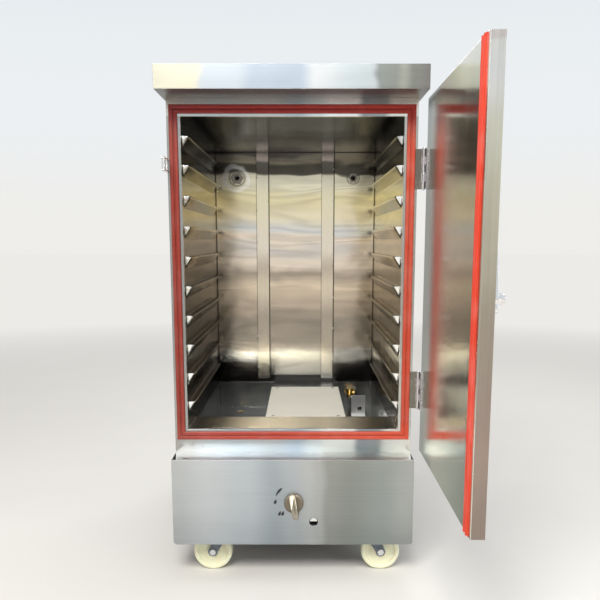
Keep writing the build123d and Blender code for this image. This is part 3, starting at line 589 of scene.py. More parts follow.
# Painted reflections across the cap's front, from its left end to its right
CAP_TONES: Tones = (
    (0.0, (0.64, 0.62, 0.51)), (0.16, (0.65, 0.62, 0.50)), (0.19, (0.48, 0.53, 0.58)),
    (0.30, (0.47, 0.52, 0.57)), (0.36, (0.41, 0.47, 0.54)), (0.52, (0.44, 0.51, 0.59)),
    (0.58, (0.68, 0.70, 0.72)), (0.72, (0.66, 0.73, 0.76)), (0.79, (0.66, 0.72, 0.74)),
    (0.82, (0.35, 0.38, 0.36)), (0.87, (0.36, 0.38, 0.35)), (0.90, (0.48, 0.49, 0.43)),
    (0.94, (0.32, 0.33, 0.29)), (1.0, (0.28, 0.26, 0.25)),
)

# Painted reflections across the front frame and its apron
APRON_TONES: Tones = (
    (0.0, (0.54, 0.53, 0.51)), (0.20, (0.49, 0.53, 0.56)), (0.42, (0.56, 0.58, 0.59)),
    (0.52, (0.46, 0.53, 0.60)), (0.60, (0.70, 0.76, 0.80)), (0.66, (0.95, 0.97, 0.98)),
    (0.75, (0.90, 0.91, 0.92)), (0.785, (0.33, 0.36, 0.40)), (0.86, (0.36, 0.38, 0.40)),
    (0.90, (0.78, 0.78, 0.76)), (1.0, (0.95, 0.92, 0.88)),
)

# Painted highlight up the front frame's lip and top rail, which lightens them
RAIL_TONES: Tones = (
    (0.0, (1.0, 1.0, 1.0)), (0.16, (1.0, 1.0, 1.0)), (0.22, (1.5, 1.5, 1.45)),
    (0.35, (1.5, 1.5, 1.45)), (0.80, (1.4, 1.3, 1.2)), (1.0, (1.45, 1.3, 1.2)),
)

# Painted reflections across the control box
BOX_TONES: Tones = (
    (0.0, (0.58, 0.60, 0.60)), (0.14, (0.66, 0.69, 0.70)), (0.30, (0.60, 0.65, 0.68)),
    (0.42, (0.45, 0.50, 0.53)), (0.50, (0.52, 0.55, 0.57)), (0.56, (0.56, 0.58, 0.57)),
    (0.60, (0.52, 0.53, 0.51)), (0.645, (0.38, 0.39, 0.36)), (0.74, (0.34, 0.36, 0.33)),
    (0.86, (0.37, 0.40, 0.38)), (1.0, (0.46, 0.47, 0.45)),
)

# Painted shade up the control box, darker towards its foot
BOX_RISE_TONES: Tones = (
    (0.0, (0.80, 0.82, 0.84)), (0.45, (0.95, 0.96, 0.97)), (1.0, (1.0, 1.0, 1.0)),
)

# Painted reflections and shade up the chamber's left wall
LEFT_WALL_TONES: Tones = (
    (0.0, (0.10, 0.10, 0.09)), (0.10, (0.20, 0.18, 0.15)), (0.30, (0.17, 0.155, 0.13)),
    (0.46, (0.17, 0.15, 0.125)), (0.58, (0.32, 0.27, 0.19)), (0.70, (0.60, 0.52, 0.34)),
    (0.80, (0.56, 0.49, 0.32)), (0.86, (0.18, 0.16, 0.12)), (0.91, (0.06, 0.06, 0.055)),
    (1.0, (0.045, 0.045, 0.045)),
)

# Painted reflections and shade up the chamber's right wall
RIGHT_WALL_TONES: Tones = (
    (0.0, (0.12, 0.11, 0.10)), (0.10, (0.28, 0.25, 0.20)), (0.30, (0.36, 0.32, 0.25)),
    (0.48, (0.46, 0.41, 0.31)), (0.60, (0.78, 0.69, 0.50)), (0.72, (0.96, 0.88, 0.60)),
    (0.82, (0.92, 0.85, 0.60)), (0.88, (0.36, 0.33, 0.26)), (0.92, (0.11, 0.105, 0.09)),
    (1.0, (0.07, 0.07, 0.065)),
)

# Painted shade and reflection from the ceiling's front, dark, to its rear, lightened
CEILING_TONES: Tones = (
    (0.0, (0.12, 0.14, 0.18)), (0.5, (0.4, 0.42, 0.46)), (1.0, (1.3, 1.35, 1.4)),
)

# Painted reflections and shade up the chamber's back wall
BACK_TONES: Tones = (
    (0.0, (0.09, 0.085, 0.08)), (0.06, (0.13, 0.12, 0.11)), (0.085, (0.43, 0.43, 0.43)),
    (0.125, (0.48, 0.47, 0.45)), (0.155, (0.40, 0.35, 0.29)), (0.27, (0.38, 0.33, 0.27)),
    (0.33, (0.60, 0.50, 0.39)), (0.43, (0.84, 0.70, 0.53)), (0.48, (0.52, 0.44, 0.35)),
    (0.53, (0.94, 0.82, 0.68)), (0.58, (0.78, 0.72, 0.66)), (0.62, (0.97, 0.84, 0.70)),
    (0.66, (0.80, 0.80, 0.78)), (0.73, (0.96, 0.86, 0.62)), (0.80, (0.90, 0.80, 0.50)),
    (0.85, (0.93, 0.87, 0.66)), (0.895, (0.86, 0.80, 0.62)), (0.905, (0.12, 0.11, 0.09)),
    (0.945, (0.14, 0.13, 0.10)), (0.96, (0.38, 0.33, 0.24)), (0.985, (0.30, 0.27, 0.21)),
    (1.0, (0.12, 0.11, 0.10)),
)

# Painted reflections and shade up the centre panel, which stays light at its foot
PANEL_TONES: Tones = (
    (0.0, (0.40, 0.38, 0.34)), (0.04, (0.46, 0.45, 0.41)), (0.08, (0.46, 0.44, 0.40)),
    (0.125, (0.48, 0.46, 0.41)),
    *BACK_TONES[4:],
)

# Painted reflections and shade up the two strips on the back wall
STRIP_TONES: Tones = (
    (0.0, (0.60, 0.58, 0.52)), (0.10, (0.62, 0.58, 0.50)), (0.15, (0.44, 0.39, 0.32)),
    (0.27, (0.46, 0.40, 0.33)), (0.42, (0.80, 0.70, 0.55)), (0.50, (0.66, 0.57, 0.46)),
    (0.60, (0.94, 0.85, 0.72)), (0.80, (0.96, 0.88, 0.64)), (0.90, (0.90, 0.85, 0.68)),
    (0.91, (0.14, 0.13, 0.11)), (0.955, (0.22, 0.20, 0.17)), (0.965, (0.60, 0.50, 0.45)),
    (1.0, (0.16, 0.15, 0.13)),
)

# Painted reflections across the sill
SILL_TONES: Tones = (
    (0.0, (0.66, 0.64, 0.58)), (0.12, (0.92, 0.89, 0.76)), (0.45, (1.0, 0.97, 0.82)),
    (0.65, (0.92, 0.88, 0.72)), (0.88, (0.70, 0.66, 0.54)), (1.0, (0.78, 0.76, 0.70)),
)

# Painted reflections up the door's polished face, lighter at its foot and head
DOOR_RISE_TONES: Tones = (
    (0.0, (1.35, 1.5, 1.5)), (0.22, (1.4, 1.6, 1.6)), (0.42, (0.85, 0.86, 0.82)),
    (0.75, (0.80, 0.80, 0.76)), (0.92, (1.4, 1.5, 1.5)), (1.0, (1.4, 1.5, 1.55)),
)

# Painted reflections and shade along the open door's polished face, from its free edge to its hinges, darker
# towards the hinges
DOOR_DEPTH_TONES: Tones = (
    (0.0, (0.86, 0.86, 0.86)), (0.45, (1.0, 1.0, 1.0)), (0.66, (1.0, 1.0, 1.0)),
    (0.84, (0.52, 0.60, 0.62)), (1.0, (0.40, 0.46, 0.48)),
)

# Painted reflections up the door's free edge
DOOR_EDGE_TONES: Tones = (
    (0.0, (0.50, 0.41, 0.37)), (0.20, (0.62, 0.50, 0.45)), (0.40, (0.66, 0.58, 0.50)),
    (0.62, (0.84, 0.80, 0.66)), (0.80, (0.92, 0.92, 0.80)), (0.90, (0.96, 0.98, 1.0)),
    (0.965, (0.98, 1.0, 1.0)), (0.975, (0.84, 0.80, 0.80)), (1.0, (0.86, 0.80, 0.80)),
)

# Painted shade across the hinges: the leaves dark, the barrels at their own colour
HINGE_TONES: Tones = (
    (0.0, (0.42, 0.38, 0.34)), (0.8, (0.46, 0.42, 0.38)), (1.0, (1.0, 1.0, 1.0)),
)

# Painted shade across the cabinet's seal, darker on its left
SEAL_TONES: Tones = (
    (0.0, (0.46, 0.42, 0.42)), (0.15, (0.6, 0.5, 0.5)), (1.0, (1.0, 1.1, 1.0)),
)

# Painted light and shade up the cabinet's seal: full at its foot, darker above it, and deeper red at its
# head
SEAL_RISE_TONES: Tones = (
    (0.0, (1.0, 1.0, 1.0)), (0.03, (1.0, 1.0, 1.0)), (0.06, (0.85, 0.8, 0.8)),
    (0.93, (0.85, 0.8, 0.8)), (0.97, (0.9, 0.45, 0.6)), (1.0, (0.9, 0.45, 0.6)),
)

# Painted shade from the knob's crest to its disc, darker on the disc
KNOB_TONES: Tones = (
    (0.0, (1.0, 1.0, 1.0)), (0.6, (0.9, 0.88, 0.84)), (1.0, (0.60, 0.56, 0.52)),
)

# Tones of the sky, from the horizon's foot up
SKY_TONES: Tones = (
    (0.0, (0.80, 0.79, 0.77)), (0.17, (0.86, 0.85, 0.82)), (0.30, (0.84, 0.87, 0.89)),
    (0.60, (0.66, 0.74, 0.80)), (1.0, (0.70, 0.76, 0.82)),
)


class Finishes:
    """Every finish on the cabinet."""

    cap = Steel(
        "brushed_cap_steel",
        (0.60, 0.60, 0.60),
        gloss=0.30,
        streak=0.06,
        # Painted shade on the cap's downward faces; the sweep paints reflections across its front
        facing=(0.40, 1.0, 1.0),
        elsewhere=(0.78, 0.79, 0.80),
        sweeps=(Sweep(Axis.X, -248.0, 248.0, CAP_TONES, 0.02, (4.0, 4.0, 14.0)),),
    )
    side = Steel("brushed_casing_steel", (0.70, 0.70, 0.69), grain=Grain.ALONG_Z, gloss=0.27, wave=4.0)
    front = Steel(
        "brushed_front_steel",
        (0.70, 0.70, 0.70),
        grain=Grain.EVEN,
        gloss=0.16,
        streak=0.03,
        brush_depth=0.000003,
        # Painted reflections across the frame, and a painted highlight on its lip and top rail
        sweeps=(
            Sweep(Axis.X, -CASING_HALF, CASING_HALF, APRON_TONES, 0.015, (2.0, 2.0, 14.0)),
            Sweep(Axis.Z, 905.0, DOOR_HEAD, RAIL_TONES),
        ),
    )
    control = Steel(
        "satin_control_box_steel",
        (0.94, 0.94, 0.95),
        gloss=0.34,
        brush_depth=0.00002,
        # Painted light and shade: top faces lighter, downward faces darker; the sweeps paint reflections and
        # shade
        facing=(0.8, 1.0, 1.45),
        sweeps=(
            Sweep(Axis.X, -CASING_HALF, CASING_HALF, BOX_TONES, 0.03),
            Sweep(Axis.Z, 72.0, 249.0, BOX_RISE_TONES, 0.1),
        ),
    )
    wall_left = Steel(
        "polished_left_wall_steel",
        (1.0, 1.0, 1.0),
        grain=Grain.ALONG_Y,
        gloss=0.12,
        streak=0.06,
        brush_depth=0.000004,
        wave=7.0,
        wave_depth=0.0010,
        # Painted light and shade on the ledges by which way each face looks, and painted reflection lines
        facing=(0.40, 1.0, 1.5),
        ends=2.6,
        ripple=0.12,
        graze=0.82,
        depth=0.6,
        # Painted shade in the rear corner, and a painted highlight along the ledges' noses
        shades=(Seam(Axis.Y, 599.6, 3.2), Seam(Axis.X, -201.5, 2.6, 0.85, (0.80, 0.78, 0.70))),
        sweeps=(Sweep(Axis.Z, WALL_FOOT, WALL_HEAD, LEFT_WALL_TONES, 0.035, (3.0, 2.0, 9.0)),),
    )
    wall_right = replace(
        wall_left,
        name="polished_right_wall_steel",
        facing=(0.34, 1.0, 1.5),
        ends=1.8,
        graze=0.77,
        # Painted shade in the rear corner, and a painted highlight along the ledges' noses
        shades=(Seam(Axis.Y, 599.6, 3.2), Seam(Axis.X, 201.5, 2.6, 0.85, (0.92, 0.90, 0.82))),
        sweeps=(Sweep(Axis.Z, WALL_FOOT, WALL_HEAD, RIGHT_WALL_TONES, 0.035, (3.0, 2.0, 9.0)),),
    )
    ceiling = Steel(
        "polished_ceiling_steel",
        # Tint darkened as painted shade
        (0.26, 0.26, 0.24),
        grain=Grain.ALONG_Y,
        gloss=0.12,
        streak=0.05,
        brush_depth=0.000004,
        wave=6.0,
        wave_depth=0.0012,
        graze=0.65,
        # Painted shade in the rear and side corners
        shades=(
            Seam(Axis.Y, 599.6, 4.0),
            Seam(Axis.X, -CHAMBER_HALF, 2.5),
            Seam(Axis.X, CHAMBER_HALF, 2.5),
        ),
        sweeps=(Sweep(Axis.Y, 9.0, CHAMBER_REAR, CEILING_TONES, 0.05),),
    )
    back = Steel(
        "polished_back_steel",
        (1.0, 1.0, 1.0),
        gloss=0.10,
        streak=0.05,
        brush_depth=0.000003,
        wave=7.5,
        wave_depth=0.0020,
        ripple=0.16,
        # Painted shade in the corners and in the gaps beside the strips; a painted highlight ring where the
        # sheet is dished round the left port, and painted shade round both ports
        shades=(
            Seam(Axis.X, -214.6, 2.2),
            Seam(Axis.X, 214.6, 2.2),
            Seam(Axis.Z, 911.6, 2.2),
            Seam(Axis.X, -71.0, 2.6, 0.95),
            Seam(Axis.X, 105.2, 2.4, 0.9),
            Seam(Axis.X, -105.0, 1.4, 0.5),
            Seam(Axis.X, 71.4, 1.4, 0.5),
            Ring(-158.0, 842.0, 31.0, 9.0, 0.5, sway=6.0),
            Ring(-PORT_SPREAD, PORT_Z, 20.5, 4.0, 0.6, (0.10, 0.09, 0.07), 1.0),
            Ring(PORT_SPREAD, PORT_Z, 15.5, 3.5, 0.6, (0.12, 0.11, 0.08), 1.0),
        ),
        sweeps=(Sweep(Axis.Z, BACK_FOOT, BACK_HEAD, BACK_TONES, 0.034, (4.0, 3.0, 9.0)),),
    )
    panel = replace(
        back, name="polished_duct_steel", sweeps=(replace(back.sweeps[0], tones=PANEL_TONES),)
    )
    strip = Steel(
        "polished_strip_steel",
        (1.0, 1.0, 1.0),
        grain=Grain.ALONG_Z,
        gloss=0.14,
        wave_depth=0.0006,
        sweeps=(Sweep(Axis.Z, BACK_FOOT, BACK_HEAD, STRIP_TONES, 0.012, (6.0, 3.0, 8.0)),),
    )
    sill = Steel(
        "polished_sill_steel",
        (1.0, 1.0, 1.0),
        gloss=0.16,
        wave_depth=0.0010,
        sweeps=(Sweep(Axis.X, -CHAMBER_HALF, CHAMBER_HALF, SILL_TONES, 0.05),),
    )
    plate = Steel(
        "satin_splash_plate_steel", (1.0, 0.985, 0.89), gloss=0.40, metal=0.0, streak=0.03, wave_depth=0.0004
    )
    tank = Steel(
        "stained_tank_steel",
        # A dark grey tint with mottled smudges
        (0.33, 0.33, 0.32),
        grain=Grain.EVEN,
        gloss=0.16,
        streak=0.08,
        brush_depth=0.000004,
        smudge=0.35,
        wave_depth=0.0012,
    )
    door = Steel(
        "polished_door_steel",
        (0.62, 0.56, 0.48),
        grain=Grain.ALONG_Z,
        gloss=0.11,
        streak=0.06,
        brush_depth=0.000004,
        wave=3.5,
        wave_depth=0.0016,
        # Painted reflections and shade, up the face and along it
        sweeps=(
            Sweep(Axis.Z, DOOR_FOOT, DOOR_HEAD, DOOR_RISE_TONES, 0.06, (3.0, 6.0, 2.0)),
            Sweep(Axis.Y, -493.5, -15.5, DOOR_DEPTH_TONES, 0.04, (3.0, 3.0, 2.0)),
        ),
    )
    door_skin = Steel(
        "brushed_door_steel",
        (0.60, 0.585, 0.56),
        grain=Grain.ALONG_Z,
        gloss=0.28,
        # Faces that don't look out of the front are painted lighter; the sweep paints reflections up the
        # free edge
        elsewhere=(1.1, 1.12, 1.15),
        sweeps=(Sweep(Axis.Z, DOOR_FOOT, DOOR_HEAD, DOOR_EDGE_TONES, 0.05, (3.0, 3.0, 4.0)),),
    )
    fitting = Steel("bright_fitting_steel", (0.84, 0.83, 0.82), grain=Grain.EVEN, gloss=0.16, wave_depth=0.0)
    hinge = replace(
        fitting,
        name="stained_hinge_steel",
        tint=(0.86, 0.84, 0.82),
        gloss=0.2,
        smudge=0.35,
        # Painted shade on the frame leaves beside the door
        sweeps=(Sweep(Axis.X, 238.0, 250.5, HINGE_TONES),),
    )
    hinge_leaf = replace(
        fitting,
        name="shaded_hinge_steel",
        tint=(0.76, 0.72, 0.74),
        gloss=0.2,
        smudge=0.3,
        shades=tuple(
            Patch((240.0, -24.0, foot + 15.2 * knuckle), (262.0, -7.6, foot + 15.2 * (knuckle + 1)))
            for foot in (342.0, 776.0)
            for knuckle in (0, 2, 4)
        ),
    )
    port = replace(fitting, name="stained_port_steel", tint=(0.42, 0.39, 0.33), gloss=0.2, smudge=0.3)
    screw = replace(fitting, name="stained_screw_steel", tint=(0.30, 0.28, 0.24), gloss=0.25)
    # Polished sheet whose reflection stands in for the light seen through the view hole
    mirror = replace(fitting, name="polished_flap_steel", tint=(0.96, 0.96, 0.95), gloss=0.06)
    zinc = replace(fitting, name="zinc_plated_bolts", tint=(0.80, 0.81, 0.82), gloss=0.24, smudge=0.15)
    weld = replace(fitting, name="weld_bead_steel", tint=(0.66, 0.62, 0.56), gloss=0.30, smudge=0.40)
    guard = Steel("pale_guard_steel", (0.72, 0.72, 0.72), grain=Grain.ALONG_Z, gloss=0.26, wave_depth=0.0003)
    cabinet_seal = Silicone(
        "cabinet_seal_silicone",
        (0.54, 0.056, 0.026),
        # Painted shade across and up the seal
        (Sweep(Axis.X, -237.0, 237.0, SEAL_TONES), Sweep(Axis.Z, 276.0, 934.0, SEAL_RISE_TONES)),
    )
    door_seal = Silicone("door_seal_silicone", (0.60, 0.045, 0.018))
    frame = Coated("frame_enamel", (0.16, 0.17, 0.19), (0.30, 0.25, 0.20), metal=0.3, gloss=0.38)
    fork = Coated("castor_fork_enamel", (0.13, 0.155, 0.19), (0.28, 0.26, 0.24), metal=0.35, gloss=0.36)
    iron = Coated(
        "cast_iron",
        (0.055, 0.053, 0.050),
        (0.20, 0.09, 0.04),
        0.6,
        0.65,
        0.5,
        grain=900.0,
        grain_depth=0.0002,
    )
    brass = Coated("brass_fittings", (0.78, 0.56, 0.20), (0.42, 0.27, 0.11), 0.5, 0.24, 1.0)
    knob = Steel(
        "champagne_knob_plastic",
        (0.62, 0.56, 0.45),
        grain=Grain.EVEN,
        gloss=0.36,
        metal=0.6,
        streak=0.02,
        wave_depth=0.0,
        # Painted light and shade: the knob darkened, most on faces that look down or sideways, less on faces
        # that look up or to the front; the sweep darkens the disc
        facing=(0.26, 0.30, 0.60),
        ends=1.75,
        sweeps=(Sweep(Axis.Y, -87.0, -64.5, KNOB_TONES),),
    )
    nylon = Coated(
        "cream_wheel_nylon",
        (0.84, 0.83, 0.61),
        (0.62, 0.56, 0.38),
        grime_share=0.35,
        gloss=0.36,
        grain_depth=0.00003,
        soft=0.15,
    )
    ink = Coated("printed_ink", (0.012, 0.012, 0.013), (0.05, 0.05, 0.05), 0.4, 0.42, patch=120.0)
    foam = Foam("insulation_foam", (0.84, 0.72, 0.42))


def dress_frame(frame: dict[str, Any]) -> None:
    """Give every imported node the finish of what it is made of.
    """
    by_slot = {s["node"]: s["material_slot"] for s in frame["record"]["subparts"]}
    of_slot = {
        "casing_steel": Finishes.side,
        "chamber_steel": Finishes.ceiling,
        "tank_steel": Finishes.tank,
        "door_steel": Finishes.door,
        "fittings_steel": Finishes.fitting,
        "frame_steel": Finishes.frame,
        "burner_iron": Finishes.iron,
        "gas_fittings": Finishes.brass,
        "insulation_foam": Finishes.foam,
        "cabinet_silicone": Finishes.cabinet_seal,
        "door_silicone": Finishes.door_seal,
        "knob_plastic": Finishes.knob,
        "castor_steel": Finishes.fork,
        "axle_zinc": Finishes.zinc,
        "wheel_nylon": Finishes.nylon,
    }
    of_node = {
        "top_cap": Finishes.cap,
        "front_frame": Finishes.front,
        "control_panel": Finishes.control,
        "liner_back": Finishes.back,
        "back_centre_panel": Finishes.panel,
        "back_wall_strips": Finishes.strip,
        "front_sill": Finishes.sill,
        "splash_plate": Finishes.plate,
        "float_guard": Finishes.guard,
        "hinge_frame_leaves": Finishes.hinge,
        "hinge_door_leaves": Finishes.hinge_leaf,
        "steam_port_left": Finishes.port,
        "steam_port_right": Finishes.port,
        "door_outer_skin": Finishes.door_skin,
    }
    for name, node in frame["nodes"].items():
        finish = of_node.get(name) or of_slot[by_slot[name]]
        node.data.materials.clear()
        node.data.materials.append(finish.material())
    LOG.info("dressed %d nodes of the frame", len(frame["nodes"]))


def shown(name: str, data: bpy.types.ID) -> bpy.types.Object:
    """Make an object of a mesh, lamp or camera, link it to the scene and return it."""
    made = bpy.data.objects.new(name, data)
    bpy.context.scene.collection.objects.link(made)
    return made


def settle(
    mesh: bpy.types.Mesh, name: str, finish: Finish, body: str, instead_of: Sequence[str] = ()
) -> bpy.types.Object:
    """Put a finished mesh into the scene as a piece of the cabinet.

    Args:
        mesh: the mesh, in the frame's metres.
        name: the piece's name.
        finish: what it is made of.
        body: the moving body that it rides on.
        instead_of: the CAD nodes that it stands for.

    Returns:
        The piece's object.
    """
    mesh.name = name
    if not mesh.materials:
        mesh.materials.append(finish.material())
    piece = shown(name, mesh)
    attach(piece, body)
    if instead_of:
        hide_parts(*instead_of)
    LOG.info("%s: %d faces on %s", name, len(mesh.polygons), body)
    return piece


def finished(host: bpy.types.Object) -> bpy.types.Mesh:
    """Return a plain mesh of what an object's modifiers make, and take the object away."""
    bpy.context.view_layer.update()
    graph = bpy.context.evaluated_depsgraph_get()
    mesh = bpy.data.meshes.new_from_object(host.evaluated_get(graph))
    host.modifiers.clear()
    bpy.data.objects.remove(host)
    return mesh


def to_mesh(form: bmesh.types.BMesh, name: str, crease: float = 35.0) -> bpy.types.Mesh:
    """Turn a finished form into a mesh whose soft edges are smooth.

    Args:
        form: the form, which is freed.
        name: the mesh's name.
        crease: the angle in degrees past which an edge stays sharp.

    Returns:
        The mesh.
    """
    bmesh.ops.remove_doubles(form, verts=form.verts, dist=1e-7)
    bmesh.ops.recalc_face_normals(form, faces=form.faces)
    for edge in form.edges:
        edge.smooth = len(edge.link_faces) != 2 or edge.calc_face_angle() < math.radians(crease)
    for face in form.faces:
        face.smooth = True
    mesh = bpy.data.meshes.new(name)
    form.to_mesh(mesh)
    form.free()
    return mesh


def bridge(form: bmesh.types.BMesh, low: Ring, high: Ring) -> None:
    """Join two closed rings of corners by a band of faces, and a pole to a ring by triangles."""
    for i in range(len(low)):
        j = (i + 1) % len(low)
        corners = list(dict.fromkeys((low[i], low[j], high[j], high[i])))
        if len(corners) > 2:
            form.faces.new(corners)


def turned(profile: Outline, segments: int = 64) -> bmesh.types.BMesh:
    """Turn a profile about the Z axis.

    Args:
        profile: radius and height of each point in millimetres, from one end to the other.
        segments: the number of steps round the axis.

    Returns:
        The form, in millimetres.
    """
    form = bmesh.new()
    rings = []
    for radius, height in profile:
        if radius == 0:
            rings.append([form.verts.new((0.0, 0.0, height))] * segments)
            continue
        turn = [2 * math.pi * i / segments for i in range(segments)]
        rings.append([form.verts.new((radius * math.cos(a), radius * math.sin(a), height)) for a in turn])
    for low, high in zip(rings, rings[1:]):
        bridge(form, low, high)
    return form


def prism(outline: Outline, low: float, high: float) -> bmesh.types.BMesh:
    """Raise an outline into a flat-ended form.

    Args:
        outline: the corners in order, in millimetres.
        low: the height of its foot.
        high: the height of its head.

    Returns:
        The form, in millimetres.
    """
    form = bmesh.new()
    foot = [form.verts.new((x, y, low)) for x, y in outline]
    head = [form.verts.new((x, y, high)) for x, y in outline]
    form.faces.new(foot[::-1])
    form.faces.new(head)
    bridge(form, foot, head)
    return form


def facing_front(x: float, y: float, z: float) -> Matrix:
    """Return the place of a form whose Z axis points out of the cabinet's front, from millimetres."""
    return Matrix.Translation(at(x, y, z)) @ Matrix.Rotation(math.pi / 2, 4, "X") @ Matrix.Scale(MM, 4)


def laid_down(form: bmesh.types.BMesh, quarter_turns: int) -> bmesh.types.BMesh:
    """Turn a small form about X by quarter turns, bring it from millimetres to metres and return it."""
    form.transform(Matrix.Scale(MM, 4) @ Matrix.Rotation(quarter_turns * math.pi / 2, 4, "X"))
    return form


def joined(forms: Iterable[bmesh.types.BMesh]) -> bmesh.types.BMesh:
    """Gather several forms in one, and free them."""
    whole = bmesh.new()
    for form in forms:
        mesh = bpy.data.meshes.new("part")
        form.to_mesh(mesh)
        form.free()
        whole.from_mesh(mesh)
        bpy.data.meshes.remove(mesh)
    return whole


class Growth(Wiring):
    """A Geometry Nodes tree with named inputs, used once to make a mesh."""

    def __init__(self, name: str) -> None:
        """Start an empty tree.

        Args:
            name: the tree's name.
        """
        super().__init__(bpy.data.node_groups.new(name, "GeometryNodeTree"))
        self.tree.interface.new_socket("Geometry", in_out="OUTPUT", socket_type="NodeSocketGeometry")
        self.source = self.tree.nodes.new("NodeGroupInput")
        self.values: dict[str, Any] = {}

    def given(self, name: str, value: Any) -> Socket:
        """Add a named input with the value that it will have, and return its socket in the tree.

        Args:
            name: what the input is called.
            value: a number, a place, an object or a material.

        Returns:
            The socket that carries it.
        """
        kinds = {
            int: "NodeSocketInt",
            float: "NodeSocketFloat",
            Vector: "NodeSocketVector",
            bpy.types.Object: "NodeSocketObject",
            bpy.types.Material: "NodeSocketMaterial",
        }
        socket = self.tree.interface.new_socket(name, in_out="INPUT", socket_type=kinds[type(value)])
        self.values[socket.identifier] = value
        return self.source.outputs[name]

    def curve(self, share: Any, levels: Sequence[float]) -> Socket:
        """Read a value from levels that are evenly spaced over a share from 0 to 1.

        Args:
            share: the socket that says where to read.
            levels: the values, each from 0 to 1.

        Returns:
            The socket with the value read.
        """
        node = self.add("ShaderNodeFloatCurve", {1: share})
        line = node.mapping.curves[0]
        while len(line.points) < len(levels):
            line.points.new(0.5, 0.5)
        for i, level in enumerate(levels):
            line.points[i].location = (i / (len(levels) - 1), level)
            line.points[i].handle_type = "VECTOR"
        node.mapping.update()
        return node.outputs[0]

    def grown(self, geometry: Socket, finish: Finish) -> bpy.types.Mesh:
        """End the tree, run it and return what it makes as a plain mesh.

        Args:
            geometry: the last socket of the tree's making.
            finish: what the result is made of.

        Returns:
            The mesh, with its material.
        """
        material = self.given("Finish", finish.material())
        real = self.add("GeometryNodeRealizeInstances", {0: geometry}).outputs[0]
        dressed = self.add("GeometryNodeSetMaterial", {"Geometry": real, "Material": material}).outputs[0]
        self.add("NodeGroupOutput", {0: dressed})
        host = shown(self.tree.name, bpy.data.meshes.new(self.tree.name))
        modifier = host.modifiers.new("growth", "NODES")
        modifier.node_group = self.tree
        for identifier, value in self.values.items():
            modifier[identifier] = value
        return finished(host)


@dataclass
class Row:
    """Evenly spaced places on a straight line, in millimetres."""

    start: Place
    step: Place
    count: int


def repeated(name: str, form: bmesh.types.BMesh, rows: Sequence[Row], finish: Finish) -> bpy.types.Mesh:
    """Repeat a small form along rows of places.

    Args:
        name: the tree's name.
        form: the form round its own origin, in metres.
        rows: the rows of places.
        finish: what the form is made of.

    Returns:
        One mesh of all the copies.
    """
    shape = bpy.data.objects.new(name + "_shape", to_mesh(form, name + "_shape"))
    growth = Growth(name)
    source = growth.add("GeometryNodeObjectInfo", {"Object": growth.given("Shape", shape)})
    lines = []
    for number, row in enumerate(rows, 1):
        inputs = {
            "Count": growth.given(f"Row {number} Count", row.count),
            "Start Location": growth.given(f"Row {number} Start", at(*row.start)),
            "Offset": growth.given(f"Row {number} Step", Vector(row.step) * MM),
        }
        lines.append(growth.add("GeometryNodeMeshLine", inputs).outputs[0])
    together = growth.add("GeometryNodeJoinGeometry")
    for line in reversed(lines):
        growth.tree.links.new(line, together.inputs[0])
    inputs = {"Points": together.outputs[0], "Instance": source.outputs["Geometry"]}
    copies = growth.add("GeometryNodeInstanceOnPoints", inputs)
    mesh = growth.grown(copies.outputs[0], finish)
    bpy.data.objects.remove(shape)
    return mesh


def welded(
    name: str, paths: Sequence[Sequence[Place]], width: float, finish: Finish, seed: int
) -> bpy.types.Mesh:
    """Lay a rippled weld bead along paths.

    Args:
        name: the tree's name.
        paths: the corners of each path, in millimetres.
        width: the bead's width in millimetres.
        finish: what the bead is made of.
        seed: fixes the ripples' differences in size.

    Returns:
        The bead's mesh.
    """
    line = bpy.data.curves.new(name, "CURVE")
    line.dimensions = "3D"
    for path in paths:
        spline = line.splines.new("POLY")
        spline.points.add(len(path) - 1)
        for point, place in zip(spline.points, path):
            point.co = (*at(*place), 1.0)
    track = bpy.data.objects.new(name + "_track", line)
    growth = Growth(name)
    source = growth.add("GeometryNodeObjectInfo", {"Object": growth.given("Track", track)})
    radius = growth.given("Radius", width * MM / 2)
    inputs = {"Curve": source.outputs["Geometry"], "Length": growth.times(radius, 0.8)}
    steps = growth.add("GeometryNodeResampleCurve", inputs, mode="LENGTH")
    drop = growth.add("GeometryNodeMeshIcoSphere", {"Radius": radius, "Subdivisions": 2}).outputs[0]
    inputs = {"Min": (0.8, 0.8, 0.5), "Max": (1.1, 1.1, 0.8), "Seed": growth.given("Seed", seed)}
    size = growth.add("FunctionNodeRandomValue", inputs, data_type="FLOAT_VECTOR")
    inputs = {"Points": steps.outputs[0], "Instance": drop, "Scale": size.outputs[0]}
    beads = growth.add("GeometryNodeInstanceOnPoints", inputs)
    smooth = growth.add("GeometryNodeSetShadeSmooth", {"Geometry": beads.outputs[0]}).outputs[0]
    mesh = growth.grown(smooth, finish)
    bpy.data.objects.remove(track)
    return mesh


